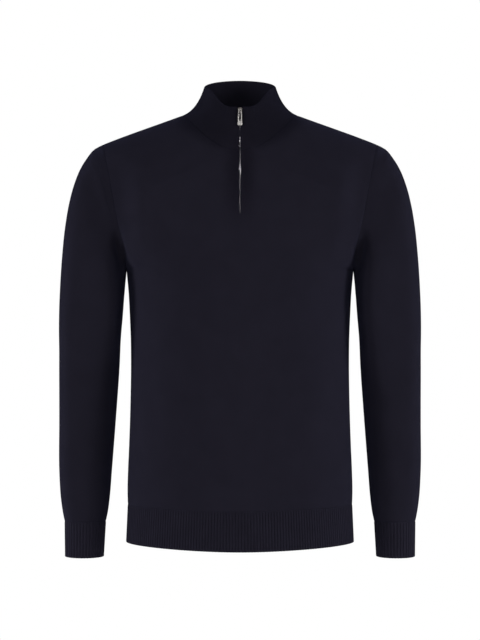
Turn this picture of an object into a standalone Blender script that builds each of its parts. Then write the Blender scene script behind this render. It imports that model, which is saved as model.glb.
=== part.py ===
"""Quarter zip sweater in fine navy knit, men's medium, standing in the shape that it has when worn.

The sweater is hollow: every piece is a cloth wall, open at the neck, the hem and both cuffs.
Frame: +Z up, the front faces -Y, the wearer's left arm is at +X. The origin is at the neck base,
level with the high points of the two shoulder seams. Every size below is in millimetres.

The cloth is first laid out as one skin of points. The pieces share the points of the seams between
them, so that they get the same folds and meet at the same angle. Each piece is then drawn back from
its seams and thickened inwards.
"""

import math
from collections import namedtuple

import bmesh
import bpy
import numpy as np
from mathutils import Euler, Vector
from mathutils.bvhtree import BVHTree

MM = 0.001
FRONT, BACK = -1, 1

# ---------------------------------------------------------------- cloth
KNIT = 1.5  # wall of the front, back and sleeves
COLLAR_CLOTH = 2.4  # the collar is folded double
RIB_RIDGE = 2.3  # rib cloth from its plain inside to the top of a rib
RIB_GROOVE = 1.2  # and to the bottom of the groove beside it
SEAM_DRAW = 0.16  # each piece stands back this far from its seam line

# ---------------------------------------------------------------- body
RIB_SEAM_Z = -611.5  # where the hem rib joins the body
HEM_Z = -671.5
SIDE_SEAM_Y = -5.0
# (height, handle of a quarter of the section: 0.55 is an ellipse, less is flatter towards the sides)
FULLNESS = [(-671.5, 0.43), (-500.0, 0.45), (-350.0, 0.47), (-242.0, 0.50)]

# (height, half width at the side seam)
HALF_WIDTH = [
    (-671.5, 179.6),
    (-640.0, 178.2),
    (-611.5, 176.9),
    (-592.0, 177.3),
    (-562.0, 176.6),
    (-525.0, 175.0),
    (-487.0, 173.6),
    (-440.0, 172.4),
    (-392.0, 171.9),
    (-354.0, 172.2),
    (-316.0, 173.6),
    (-278.0, 175.6),
    (-258.0, 177.4),
    (-242.0, 179.0),
]
# (height, y) of the centre front and the centre back
FRONT_LINE = [
    (-671.5, -126.0),
    (-611.5, -119.0),
    (-540.0, -116.5),
    (-460.0, -115.0),
    (-390.0, -117.0),
    (-320.0, -122.0),
    (-243.5, -124.0),
    (-190.0, -119.0),
    (-140.0, -110.5),
    (-100.0, -98.5),
    (-62.0, -84.0),
]
BACK_LINE = [
    (-671.5, 112.0),
    (-611.5, 109.0),
    (-540.0, 105.0),
    (-460.0, 99.0),
    (-390.0, 98.5),
    (-320.0, 104.0),
    (-243.5, 110.5),
    (-190.0, 112.5),
    (-130.0, 108.0),
    (-80.0, 97.0),
    (-40.0, 83.0),
    (-14.0, 70.0),
]

# ---------------------------------------------------------------- armhole
ARMHOLE_BOW = 4.0  # how far the middle of the seam stands in towards the body
BOW_LENGTH = 60.0  # how far down the sleeve that bow is lost
# (degrees round the armhole from the underarm, degrees that the panel turns back there)
PANEL_TURN = [(0, 90), (45, 77), (90, 55), (135, 27), (180, 0)]
PANEL_RISE = [(0, 0), (90, 12), (180, 22)]  # and degrees that it rises towards the neck

# ---------------------------------------------------------------- neck and collar
NECK_HALF_WIDTH = 91.0  # at the high points of the shoulder seams
NECK_FRONT = (-84.0, -62.0)  # y, z of the seam at the centre front
NECK_BACK = (70.0, -14.0)
NECK_SCOOP = {FRONT: 2.3, BACK: 2.0}  # how late the seam drops on its way from the shoulder
SHOULDER_SLOPE = 20.0
CHEST_SLOPE = {FRONT: 68.0, BACK: 63.0}  # of the cloth just under the neck seam
ROW_DIP = 0.3  # how far the lines of the cloth dip where they leave the centre at the neck

# The collar's side profile is one curve through a base, a flare and a rim. (half width, y at the
# side, y at the front, y at the back)
Ring = namedtuple("Ring", "half_width side front back")
FLARE = Ring(67.4, -1.0, -77.5, 57.0)
RIM = Ring(56.2, -3.0, -75.0, 54.0)
# (degrees round from the centre front, height)
FLARE_HEIGHT = [(0, -28), (30, -18), (60, 2), (90, 9.5), (135, 20), (180, 25)]
RIM_HEIGHT = [
    (0, 5),
    (16, 5.5),
    (28, 10),
    (38, 19),
    (50, 31),
    (70, 41.5),
    (90, 46),
    (118, 54.5),
    (143, 60),
    (180, 64.3),
]

# ---------------------------------------------------------------- sleeve
# One row for each section, from the armhole seam to the cuff seam. The inner end faces the body, the
# outer end is the shoulder or the outside of the arm. front and back are the depths on either side.
Section = namedtuple("Section", "inner_x inner_y inner_z outer_x outer_y outer_z front back")
SLEEVE = [
    Section(179.0, -5.0, -242.0, 217.0, 8.0, -44.7, 63, 60),
    Section(181.0, -5.0, -242.6, 230.5, 8.0, -52.0, 64, 61),
    Section(181.1, -4.6, -246.0, 242.5, 8.0, -66.5, 64, 62),
    Section(181.3, -4.0, -250.5, 252.5, 8.0, -83.0, 63.5, 62),
    Section(181.6, -3.2, -256.0, 261.5, 8.2, -106.0, 62.5, 62),
    Section(182.0, -2.0, -263.0, 269.5, 8.6, -136.0, 61.5, 61),
    Section(182.6, 0.0, -272.0, 276.0, 9.2, -174.0, 60, 60),
    Section(183.6, 3.5, -286.0, 281.0, 9.8, -222.0, 58.5, 59),
    Section(185.2, 7.5, -310.0, 284.2, 10.5, -280.0, 57, 57.5),
    Section(188.4, 11.0, -352.0, 285.8, 11.0, -342.0, 55, 56),
    Section(192.4, 11.0, -412.0, 286.0, 11.0, -408.0, 51.5, 53),
    Section(197.6, 6.0, -488.0, 285.7, 6.0, -486.0, 46.5, 47.5),
    Section(202.6, -1.0, -560.0, 285.0, -1.0, -560.0, 42, 42.5),
    Section(205.5, -5.0, -602.0, 282.2, -5.0, -602.0, 38, 38.5),
    Section(208.0, -6.5, -623.0, 279.3, -6.5, -623.0, 33.5, 34),
    Section(211.0, -7.5, -638.0, 276.3, -7.5, -638.0, 28.5, 28.5),
]
UNDERARM = np.array(SLEEVE[0][:3])
UNDERARM_Z = SLEEVE[0].inner_z
CUFF_SEAM_Z = -638.0
CUFF_Z = -693.7
CUFF_END = Section(214.0, -11.5, CUFF_Z, 275.2, -11.5, CUFF_Z, 25.5, 25.5)

# ---------------------------------------------------------------- folds
# Soft troughs (depth below 0) and ridges in the skin. Each runs straight between two points and
# fades at both ends. The same row is used at -X with x turned round, unless it names one side.
Fold = namedtuple("Fold", "x0 y0 z0 x1 y1 z1 width depth side")
UNDERARM_CALM = 42.0  # within this distance of the underarm, where body and sleeve touch, folds die out
FOLDS = [
    # front of the armhole: the crease that rises from the underarm, and a fold on both sides of it
    Fold(186, -44, -226, 196, -66, -130, 20, -4.5, "both"),
    Fold(160, -92, -214, 178, -74, -150, 26, 2.2, "both"),
    Fold(214, -58, -236, 236, -62, -150, 24, 2.4, "both"),
    # back of the armhole
    Fold(186, 44, -226, 198, 66, -120, 20, -4.0, "both"),
    Fold(150, 96, -200, 176, 76, -130, 28, 2.2, "both"),
    # drag from the underarm over the ribs
    Fold(168, -64, -268, 110, -112, -318, 26, -2.2, "left"),
    Fold(168, -64, -262, 108, -114, -296, 24, -2.4, "right"),
    Fold(168, 60, -276, 100, 98, -330, 28, -2.6, "both"),
    # the small of the back
    Fold(-125, 86, -455, 125, 86, -430, 26, -2.8, "left"),
    Fold(-110, 90, -520, 130, 90, -505, 28, -2.4, "left"),
    # bend of the elbow: creased in front, drawn at the back
    Fold(200, -36, -398, 284, -30, -372, 26, -2.4, "both"),
    Fold(196, 30, -350, 262, 58, -384, 28, -2.0, "both"),
]

# ---------------------------------------------------------------- zip
ZIP_TOP_Z = 4.0
SLIT_END_Z = -164.0
SLIT_HALF = 1.3  # half of the gap between the cloth edges
SLIT_HALF_AT_SLIDER = 3.7
SLIDER_ROOM = (-13.8, -29.0)  # the edges stay apart down to the first height, and close to the second
TAPE = dict(inner=2.6, outer=13.5, thick=0.9)
ZIP_DEPTH = COLLAR_CLOTH + 0.35  # from the face of the cloth to the tape and the teeth
CHAIN_HALF, CHAIN_THICK = 2.2, 2.0
CHAIN_TOP_Z = -1.5
CHAIN_END_Z = -163.0
STOP_HEIGHT = 3.0
SLIDER = dict(height=8.5, half_top=3.2, half_foot=2.5, face=-0.6, plate=1.7, back_plate=0.9, wedge=1.3)
BRIDGE = dict(half=0.8, foot=2.9, thick=0.9, clear=0.95)
PIVOT_OUT = 1.6  # the pull's crossbar stands this far out of the cloth's face
PIVOT_DROP = 4.2  # below the top of the slider
PULL = dict(length=24.5, half_top=2.5, half_foot=3.9, window=1.35, window_end=17.5, bar=0.55, thick=1.1)

# ---------------------------------------------------------------- how finely the skin is laid out
LOWER_ROWS_Z = [RIB_SEAM_Z, -602, -588, -563, -530, -495, -460, -425, -390, -355, -325, -297, -270, -255]
# Above those, rows run from the centre line, then from the neck seam, out to the armhole.
# (height on the centre line, degrees round the armhole)
CENTRE_ROWS = {
    FRONT: [
        (UNDERARM_Z, 0),
        (-217, 13),
        (-190, 26),
        (SLIT_END_Z, 39),
        (-159, 42),
        (-125, 58),
        (-93, 73),
        (-62, 88),
    ],
    BACK: [
        (UNDERARM_Z, 0),
        (-208, 13),
        (-172, 26),
        (-138, 39),
        (-105, 52),
        (-73, 65),
        (-43, 77),
        (-14, 89),
    ],
}
NECK_ROWS = 10  # along the neck seam, from the centre to the shoulder
COLUMNS = 11  # from the centre to the side seam
LONG_STEP = 50.0  # sleeve sections further apart than this get one more ring between them
COLLAR_ROWS = 7
HEM_RIBS = 100  # in the front, and again in the back
CUFF_RIBS = 38

NAVY = (0.012, 0.0115, 0.020, 1.0)
NAVY_RIB = (0.010, 0.0095, 0.016, 1.0)
NAVY_TAPE = (0.008, 0.008, 0.013, 1.0)
NICKEL = (0.62, 0.60, 0.57, 1.0)


# ================================================================ curves
def smooth(table):
    """A smooth curve through the (position, value) rows of a table."""
    x, y = np.array(sorted(table), float).T
    step = np.diff(x)
    slope = np.diff(y) / step
    tangent = np.empty_like(y)
    tangent[0], tangent[-1] = slope[0], slope[-1]
    tangent[1:-1] = (slope[:-1] * step[1:] + slope[1:] * step[:-1]) / (step[:-1] + step[1:])

    def at(position):
        i = int(np.clip(np.searchsorted(x, position) - 1, 0, len(x) - 2))
        t = (position - x[i]) / step[i]
        a, b = y[i], y[i + 1]
        ta, tb = tangent[i] * step[i], tangent[i + 1] * step[i]
        return (
            a * (2 * t**3 - 3 * t**2 + 1)
            + ta * (t**3 - 2 * t**2 + t)
            + b * (3 * t**2 - 2 * t**3)
            + tb * (t**3 - t**2)
        )

    return at


half_width, fullness = smooth(HALF_WIDTH), smooth(FULLNESS)
centre_line = {FRONT: smooth(FRONT_LINE), BACK: smooth(BACK_LINE)}
panel_turn, panel_rise = smooth(PANEL_TURN), smooth(PANEL_RISE)
flare_height, rim_height = smooth(FLARE_HEIGHT), smooth(RIM_HEIGHT)


def unit(v):
    v = np.asarray(v, float)
    return v / np.linalg.norm(v)


def bezier(p0, p1, p2, p3, steps):
    """Points along a cubic curve with these four controls."""
    t = np.linspace(0, 1, steps + 1)[:, None]
    return (1 - t) ** 3 * p0 + 3 * (1 - t) ** 2 * t * p1 + 3 * (1 - t) * t**2 * p2 + t**3 * p3


def body_quarter(z, side, steps):
    """A quarter of the body's section at a height, from the centre line to the side seam at +X."""
    width, y = half_width(z), centre_line[side](z)
    start, end = np.array([0, y, z]), np.array([width, SIDE_SEAM_Y, z])
    along = np.array([fullness(z) * width, 0, 0])
    back = np.array([0, fullness(z) * (y - SIDE_SEAM_Y), 0])
    return bezier(start, start + along, end + back, end, steps)


def section_point(section, degrees, side, bow=0.0):
    """A point of a sleeve section at +X: 0 is the inner end (the underarm), 180 the outer end."""
    a = math.radians(degrees)
    inner, outer = np.array(section[:3]), np.array(section[3:6])
    depth = section.front if side == FRONT else section.back
    across = np.array([-bow, side * depth, 0])
    return (inner + outer) / 2 - (outer - inner) / 2 * math.cos(a) + across * math.sin(a)


def neck_seam(degrees, side):
    """A point of the neck seam at +X: 0 is the shoulder, 90 the centre front or back."""
    a = math.radians(degrees)
    y, z = NECK_FRONT if side == FRONT else NECK_BACK
    return np.array([NECK_HALF_WIDTH * math.cos(a), y * math.sin(a), z * math.sin(a) ** NECK_SCOOP[side]])


def away_from_neck(degrees, side):
    """The direction in which the cloth leaves the neck seam."""
    a = math.radians(degrees)
    share = math.sin(a) ** 1.5
    slope = math.radians(SHOULDER_SLOPE + (CHEST_SLOPE[side] - SHOULDER_SLOPE) * share)
    level = np.array([math.cos(a), side * math.sin(a), 0]) * math.cos(slope)
    return level - np.array([0, 0, math.sin(slope)])


# ================================================================ the skin, piece by piece
def centre_rows_and_neck(side):
    """For each upper row: where it starts, the direction in which it leaves, and how many degrees
    round the armhole it ends."""
    centre = CENTRE_ROWS[side]
    for z, degrees in centre:
        start = np.array([0, centre_line[side](z), z])
        down = np.array([0, centre_line[side](z - 2), z - 2]) - start
        turned = ROW_DIP * degrees / centre[-1][1]
        yield start, unit((1 - turned) * np.array([1, 0, 0]) + turned * unit(down)), degrees
    for k in range(1, NECK_ROWS + 1):
        share = k / NECK_ROWS
        round_neck = 90 * (1 - share)
        turned = ROW_DIP + (1 - ROW_DIP) * share**0.7
        leave = (1 - turned) * np.array([1, 0, 0]) + turned * away_from_neck(round_neck, side)
        degrees = centre[-1][1] + (180 - centre[-1][1]) * share
        yield neck_seam(round_neck, side), unit(leave), degrees


def panel_half(side):
    """Rows of points of the right half (+X) of the front or back, from the hem rib to the shoulder."""
    rows = [body_quarter(z, side, COLUMNS) for z in LOWER_ROWS_Z]
    at_neck = CENTRE_ROWS[side][-1][1]
    handle = fullness(UNDERARM_Z)
    for start, leave, degrees in centre_rows_and_neck(side):
        end = section_point(SLEEVE[0], degrees, side, ARMHOLE_BOW)
        turn, rise = math.radians(panel_turn(degrees)), math.radians(panel_rise(degrees))
        arrive = np.array(
            [-math.cos(turn) * math.cos(rise), side * math.sin(turn) * math.cos(rise), math.sin(rise)]
        )
        chord, up = np.linalg.norm(end - start), min(1.0, degrees / at_neck)
        reach_in = (1 - up) * handle * end[0] + up * 0.34 * chord
        reach_out = (1 - up) * handle * abs(start[1] - end[1]) + up * 0.335 * chord
        rows.append(bezier(start, start + leave * reach_in, end + arrive * reach_out, end, COLUMNS))
    return np.array(rows)


def slit_half(z):
    """Half of the gap between the two cloth edges at a height."""
    if z <= SLIT_END_Z + 0.5:
        return 0.0
    apart, shut = SLIDER_ROOM
    opened = min(1.0, max(0.0, (z - shut) / (apart - shut)))
    return SLIT_HALF + (SLIT_HALF_AT_SLIDER - SLIT_HALF) * opened * opened * (3 - 2 * opened)


def open_slit(rows):
    """Moves the points on the centre front out to the edge of the slit."""
    for row in rows:
        if row[0][0] < 0.01:
            row[0][0] = slit_half(row[0][2])
    return rows


def ring_point(ring, height, degrees):
    """A point of a collar ring at +X, degrees round from the centre front."""
    a = math.radians(degrees)
    end = ring.front if degrees < 90 else ring.back
    y = ring.side + abs(math.cos(a)) * (end - ring.side)
    return np.array([ring.half_width * math.sin(a), y, height(degrees)])


def collar_half(steps=COLLAR_ROWS):
    """Rows of points of the collar's half at +X, bottom row first, each from front to back."""
    seam = [neck_seam(90 - 90 * i / NECK_ROWS, FRONT) for i in range(NECK_ROWS)]
    seam += [neck_seam(90 * i / NECK_ROWS, BACK) for i in range(NECK_ROWS + 1)]
    columns = []
    for i, base in enumerate(seam):
        degrees = 90 * i / NECK_ROWS
        flare = ring_point(FLARE, flare_height, degrees)
        rim = ring_point(RIM, rim_height, degrees)
        t = np.linspace(0, 1, steps + 1)[:, None]
        columns.append((1 - t) ** 2 * base + 2 * (1 - t) * t * flare + t**2 * rim)
    return np.array(columns).transpose(1, 0, 2)


def armhole_angles(side):
    """Degrees round the armhole at which the rows of a panel end."""
    return [degrees for _, _, degrees in centre_rows_and_neck(side)]


def arm_ring(section, bow=0.0):
    """Points round one section of the sleeve: up its front from the inner end, and down its back."""
    ring = [section_point(section, degrees, FRONT, bow) for degrees in armhole_angles(FRONT)[:-1]]
    ring += [section_point(section, degrees, BACK, bow) for degrees in armhole_angles(BACK)[:0:-1]]
    return np.array(ring)


def sleeve_rings():
    """Rings of points of the sleeve at +X, from the armhole to the cuff seam."""
    lengths = [0.0]
    for a, b in zip(SLEEVE, SLEEVE[1:]):
        inner = math.dist(a[:3], b[:3])
        outer = math.dist(a[3:6], b[3:6])
        lengths.append(lengths[-1] + (inner + outer) / 2)
    curves = [smooth(list(zip(lengths, column))) for column in zip(*SLEEVE)]
    stations = [0.0]
    for before, after in zip(lengths, lengths[1:]):
        stations += [after] if after - before < LONG_STEP else [(before + after) / 2, after]
    rings = []
    for s in stations:
        bow = ARMHOLE_BOW * max(0.0, 1 - s / BOW_LENGTH)
        rings.append(arm_ring(Section(*(curve(s) for curve in curves)), bow))
    return np.array(rings)


# ================================================================ meshes of points
class Cloth:
    """A sheet of points and faces. Points in the same place are one point."""

    def __init__(self):
        self.points, self.faces, self.index = [], [], {}

    def point(self, p):
        key = tuple(np.round(p, 4))
        if key not in self.index:
            self.index[key] = len(self.points)
            self.points.append(np.array(p, float))
        return self.index[key]

    def face(self, corners):
        ids = [self.point(p) for p in corners]
        ids = [v for k, v in enumerate(ids) if v != ids[k - 1]]
        if len(ids) > 2:
            self.faces.append(ids)

    def grid(self, rows, flip=False, closed=False):
        """Adds the quads between rows of points. flip turns them to face the other way."""
        n = len(rows[0])
        for a, b in zip(rows, rows[1:]):
            for i in range(n if closed else n - 1):
                j = (i + 1) % n
                corners = [a[i], a[j], b[j], b[i]]
                self.face(corners[::-1] if flip else corners)
        return self

    def border(self):
        """The edges that have a face on one side only, as (from, to), in the face's direction."""
        edges = {}
        for face in self.faces:
            for edge in zip(face, face[1:] + face[:1]):
                edges[edge] = True
        return [(a, b) for a, b in edges if (b, a) not in edges]


def mirrored(points):
    return points * np.array([-1.0, 1.0, 1.0])


def face_normal(points, face):
    """The face's normal, as long as twice its area."""
    total = np.zeros(3)
    for a, b in zip(face[1:], face[2:]):
        total += np.cross(points[a] - points[face[0]], points[b] - points[face[0]])
    return total


def shared_normals(groups):
    """For each place, the normal that halves the angle between the groups of pieces that meet there."""
    halving = {}
    for cloths in groups:
        total = {}
        for cloth in cloths:
            for face in cloth.faces:
                n = face_normal(cloth.points, face)
                for v in face:
                    key = tuple(np.round(cloth.points[v], 3))
                    total[key] = total.get(key, 0) + n
        for key, n in total.items():
            halving[key] = halving.get(key, 0) + unit(n)
    return halving


def normals_of(cloth, shared, level_at):
    """The cloth's own list of normals. At the heights in level_at, where a rib joins, they lie level."""
    found = []
    for p in cloth.points:
        n = shared[tuple(np.round(p, 3))].copy()
        if any(abs(p[2] - z) < 1 for z in level_at):
            n[2] = 0
        found.append(unit(n))
    return found


def fold_height(p):
    """How far the folds lift (or sink) the skin at a point."""
    lift = 0.0
    for fold in FOLDS:
        turns = {"both": (1, -1), "left": (1,), "right": (-1,)}[fold.side]
        for turn in turns:
            a = np.array([turn * fold.x0, fold.y0, fold.z0])
            b = np.array([turn * fold.x1, fold.y1, fold.z1])
            along = float(np.clip(np.dot(p - a, b - a) / np.dot(b - a, b - a), 0, 1))
            away = np.linalg.norm(p - (a + along * (b - a))) / fold.width
            fade = math.sin(math.pi * min(max(along, 0.12), 0.88)) ** 0.7
            lift += fold.depth * fade * math.exp(-(away**2))
    from_underarm = np.linalg.norm(np.abs(p) * [1, 0, 0] + p * [0, 1, 1] - UNDERARM)
    return lift * (1 - math.exp(-((from_underarm / UNDERARM_CALM) ** 2)))


def is_held(p):
    """The rib seams and the slit's edges keep their line."""
    near_rib = abs(p[2] - RIB_SEAM_Z) < 1 or (p[2] < CUFF_SEAM_Z + 1 and abs(p[0]) > 190)
    return near_rib or (p[1] < -60 and abs(p[0]) < 5)


def fold_skin(groups):
    normals = shared_normals(groups)
    for cloth in sum(groups, []):
        moved = []
        for p in cloth.points:
            lift = 0.0 if is_held(p) else fold_height(p)
            moved.append(p + lift * unit(normals[tuple(np.round(p, 3))]))
        cloth.points = moved


def draw_back(cloth, normals):
    """Each edge point's shift: away from the seam, square to the normal that is shared there."""
    ways = {}
    for a, b in cloth.border():
        edge = cloth.points[b] - cloth.points[a]
        for v in (a, b):
            ways.setdefault(v, []).append(unit(np.cross(normals[v], edge)))
    shifts = {}
    for v, found in ways.items():
        mean = unit(sum(found))
        shifts[v] = mean * SEAM_DRAW / max(0.35, float(np.dot(mean, found[0])))
    return shifts


# ================================================================ objects
def material(name, colour, roughness, metallic=0.0):
    made = bpy.data.materials.new(name)
    made.use_nodes = True
    shader = made.node_tree.nodes["Principled BSDF"]
    shader.inputs["Base Color"].default_value = colour
    shader.inputs["Roughness"].default_value = roughness
    shader.inputs["Metallic"].default_value = metallic
    made.diffuse_color = colour
    return made


def make_object(name, points, faces, finish, crease=40):
    """A mesh object from points in millimetres."""
    mesh = bpy.data.meshes.new(name)
    mesh.from_pydata([tuple(np.asarray(p) * MM) for p in points], [], faces)
    mesh.update()
    mesh.shade_smooth()
    mesh.set_sharp_from_angle(angle=math.radians(crease))
    mesh.materials.append(finish)
    obj = bpy.data.objects.new(name, mesh)
    bpy.context.scene.collection.objects.link(obj)
    return obj


def wall(cloth, normals, thick):
    """Points and faces of a closed wall: the cloth is its outside, and its inside is thick inwards."""
    shift = draw_back(cloth, normals)
    outside = [p + shift.get(i, 0) for i, p in enumerate(cloth.points)]
    inside = [p - n * thick for p, n in zip(outside, normals)]
    count = len(outside)
    faces = [list(f) for f in cloth.faces]
    faces += [[v + count for v in reversed(f)] for f in cloth.faces]
    faces += [[b, a, a + count, b + count] for a, b in cloth.border()]
    return outside + inside, faces


def ribbed_wall(name, outline, normals, z_top, z_foot, foot, ribs_per_step, finish, closed):
    """A rib band between two heights. outline and foot are its smooth outer lines at the top and the
    foot, with two points for each rib. The inside is plain, with one point every ribs_per_step ribs."""
    count = len(outline)
    rows = [(outline, z_top - SEAM_DRAW), (foot, z_foot)]
    points, outer, inner = [], [], []
    for line, z in rows:
        ring = []
        for i, (p, n) in enumerate(zip(line, normals)):
            sunk = (RIB_RIDGE - RIB_GROOVE) * (i % 2)
            ring.append(len(points))
            points.append(np.array([p[0], p[1], z]) - n * sunk)
        outer.append(ring)
    every = 2 * ribs_per_step
    picked = list(range(0, count, every))
    if not closed and picked[-1] != count - 1:
        picked.append(count - 1)
    for line, z in rows:
        ring = []
        for i in picked:
            ring.append(len(points))
            points.append(np.array([line[i][0], line[i][1], z]) - normals[i] * RIB_RIDGE)
        inner.append(ring)
    faces = []
    for i in range(count if closed else count - 1):
        j = (i + 1) % count
        faces.append([outer[1][i], outer[1][j], outer[0][j], outer[0][i]])
    for k in range(len(picked) if closed else len(picked) - 1):
        j = (k + 1) % len(picked)
        faces.append([inner[0][k], inner[0][j], inner[1][j], inner[1][k]])
        stop = picked[j] if picked[j] > picked[k] else count
        span = [i % count for i in range(picked[k], stop + 1)]
        faces.append([inner[0][j], inner[0][k]] + [outer[0][i] for i in span])
        faces.append([inner[1][k], inner[1][j]] + [outer[1][i] for i in reversed(span)])
    if not closed:
        faces.append([outer[0][0], inner[0][0], inner[1][0], outer[1][0]])
        faces.append([outer[1][-1], inner[1][-1], inner[0][-1], outer[0][-1]])
    return make_object(name, points, faces, finish, crease=80)


def level_normals(line, outward):
    """Level normals of a line of points, on the side of outward."""
    steps = np.gradient(np.asarray(line)[:, :2], axis=0)
    found = []
    for (dx, dy), p in zip(steps, line):
        n = unit([dy, -dx, 0])
        found.append(n if np.dot(n[:2], p[:2] - outward) > 0 else -n)
    return found


def even_line(line, steps):
    """The same line of points with an even spacing."""
    line = np.asarray(line)
    lengths = np.concatenate([[0], np.cumsum(np.linalg.norm(np.diff(line, axis=0), axis=1))])
    wanted = np.linspace(0, lengths[-1], steps + 1)
    return np.stack([np.interp(wanted, lengths, line[:, k]) for k in range(3)], axis=1)


def hem_line(z, side):
    """The body's half section from the left side seam (+X) to the right, drawn back at both seams."""
    quarter = body_quarter(z, side, 40)
    whole = np.concatenate([quarter[::-1], mirrored(quarter)[1:]])
    whole[0][1] += side * SEAM_DRAW
    whole[-1][1] += side * SEAM_DRAW
    if side == FRONT:
        whole = whole[::-1]
    return even_line(whole, 2 * HEM_RIBS)


def make_hem(finish):
    for name, side in (("hem_rib_front", FRONT), ("hem_rib_back", BACK)):
        top, foot = hem_line(RIB_SEAM_Z, side), hem_line(HEM_Z, side)
        normals = level_normals(top, np.array([0, SIDE_SEAM_Y]))
        ribbed_wall(name, top, normals, RIB_SEAM_Z, HEM_Z, foot, 4, finish, closed=False)


def cuff_line(section):
    """A level ring round the cuff at +X with two points for each rib."""
    middle = np.array([(section.inner_x + section.outer_x) / 2, section.inner_y])
    half = (section.outer_x - section.inner_x) / 2
    ring = []
    for i in range(161):
        a = 2 * math.pi * i / 160
        ring.append([middle[0] + half * math.cos(a), middle[1] + section.front * math.sin(a), 0])
    return even_line(ring, 2 * CUFF_RIBS)[:-1], middle


def make_cuff(name, turn, finish):
    top, middle = cuff_line(SLEEVE[-1])
    foot, _ = cuff_line(CUFF_END)
    if turn < 0:
        top, foot, middle = mirrored(top)[::-1], mirrored(foot)[::-1], middle * [-1, 1]
    closed_line = np.concatenate([top[-1:], top, top[:1]])
    normals = level_normals(closed_line, middle)[1:-1]
    ribbed_wall(name, top, normals, CUFF_SEAM_Z, CUFF_Z, foot, 1, finish, closed=True)


# ================================================================ zip
class Face:
    """The outside of the front and collar, for pieces that are made from its points."""

    def __init__(self, cloths):
        points, faces = [], []
        for cloth in cloths:
            start = len(points)
            points += [Vector(p) for p in cloth.points]
            faces += [[v + start for v in f] for f in cloth.faces]
        self.tree = BVHTree.FromPolygons(points, faces)

    def at(self, x, z):
        """The cloth's point at x and z."""
        x = math.copysign(max(abs(x), slit_half(z) + 0.4), x)
        place = self.tree.ray_cast(Vector((x, -400, z)), Vector((0, 1, 0)))[0]
        return np.array(place)

    def sunk(self, x, z, depth):
        """A point at x and z, this far behind the cloth's face."""
        low, high = self.at(x, z - 3), self.at(x, min(z + 3, ZIP_TOP_Z))
        outwards = unit([0, low[2] - high[2], high[1] - low[1]])
        moved = self.at(x, z) - outwards * depth
        return np.array([x, moved[1], moved[2]])


def strip(name, face, xs, zs, depth, thick, finish):
    """A strip that follows the cloth's face: a grid of points over xs and zs, closed as a slab."""
    cloth = Cloth().grid([[face.sunk(x, z, depth) for x in xs] for z in zs], flip=xs[0] > xs[-1])
    count = len(cloth.points)
    rear = [face.sunk(p[0], z, depth + thick) for z in zs for p in (face.sunk(x, z, 0) for x in xs)]
    order = [cloth.index[tuple(np.round(face.sunk(x, z, depth), 4))] for z in zs for x in xs]
    back = [None] * count
    for i, p in zip(order, rear):
        back[i] = p
    faces = [list(f) for f in cloth.faces] + [[v + count for v in reversed(f)] for f in cloth.faces]
    faces += [[b, a, a + count, b + count] for a, b in cloth.border()]
    return make_object(name, cloth.points + back, faces, finish)


def prism(name, outline, low, high, finish=None):
    """A prism: the outline's (across, up) points, from low to high along the third direction."""
    points = [(low, a, b) for a, b in outline] + [(high, a, b) for a, b in outline]
    n = len(outline)
    faces = [list(range(n))[::-1], list(range(n, 2 * n))]
    faces += [[i, (i + 1) % n, (i + 1) % n + n, i + n] for i in range(n)]
    return points, faces


def solid(name, points, faces, finish=None, place=None, bevel=0.0):
    """An object from millimetre points, moved to its place in the world."""
    mesh = bpy.data.meshes.new(name)
    mesh.from_pydata([Vector(p) * MM for p in points], [], faces)
    made = bmesh.new()
    made.from_mesh(mesh)
    bmesh.ops.recalc_face_normals(made, faces=made.faces)
    made.to_mesh(mesh)
    made.free()
    if finish:
        mesh.materials.append(finish)
    obj = bpy.data.objects.new(name, mesh)
    bpy.context.scene.collection.objects.link(obj)
    if place:
        obj.location, obj.rotation_euler = place
    if bevel:
        edge = obj.modifiers.new("edges", "BEVEL")
        edge.width, edge.segments, edge.limit_method = bevel * MM, 2, "ANGLE"
    return obj


def join(target, other):
    """Adds another solid to this one."""
    union = target.modifiers.new(other.name, "BOOLEAN")
    union.operation, union.object, union.solver = "UNION", other, "EXACT"
    other.hide_render = True
    other.display_type = "WIRE"


def zip_place(face):
    """Where the slider sits: its origin is on the cloth's face at its top, and it leans as the cloth does."""
    top = face.at(0, ZIP_TOP_Z)
    low = face.at(0, ZIP_TOP_Z - PULL["length"])
    lean = math.atan2(top[1] - low[1], top[2] - low[2])
    return Vector((0, top[1], ZIP_TOP_Z)) * MM, Euler((-lean, 0, 0))


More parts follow.
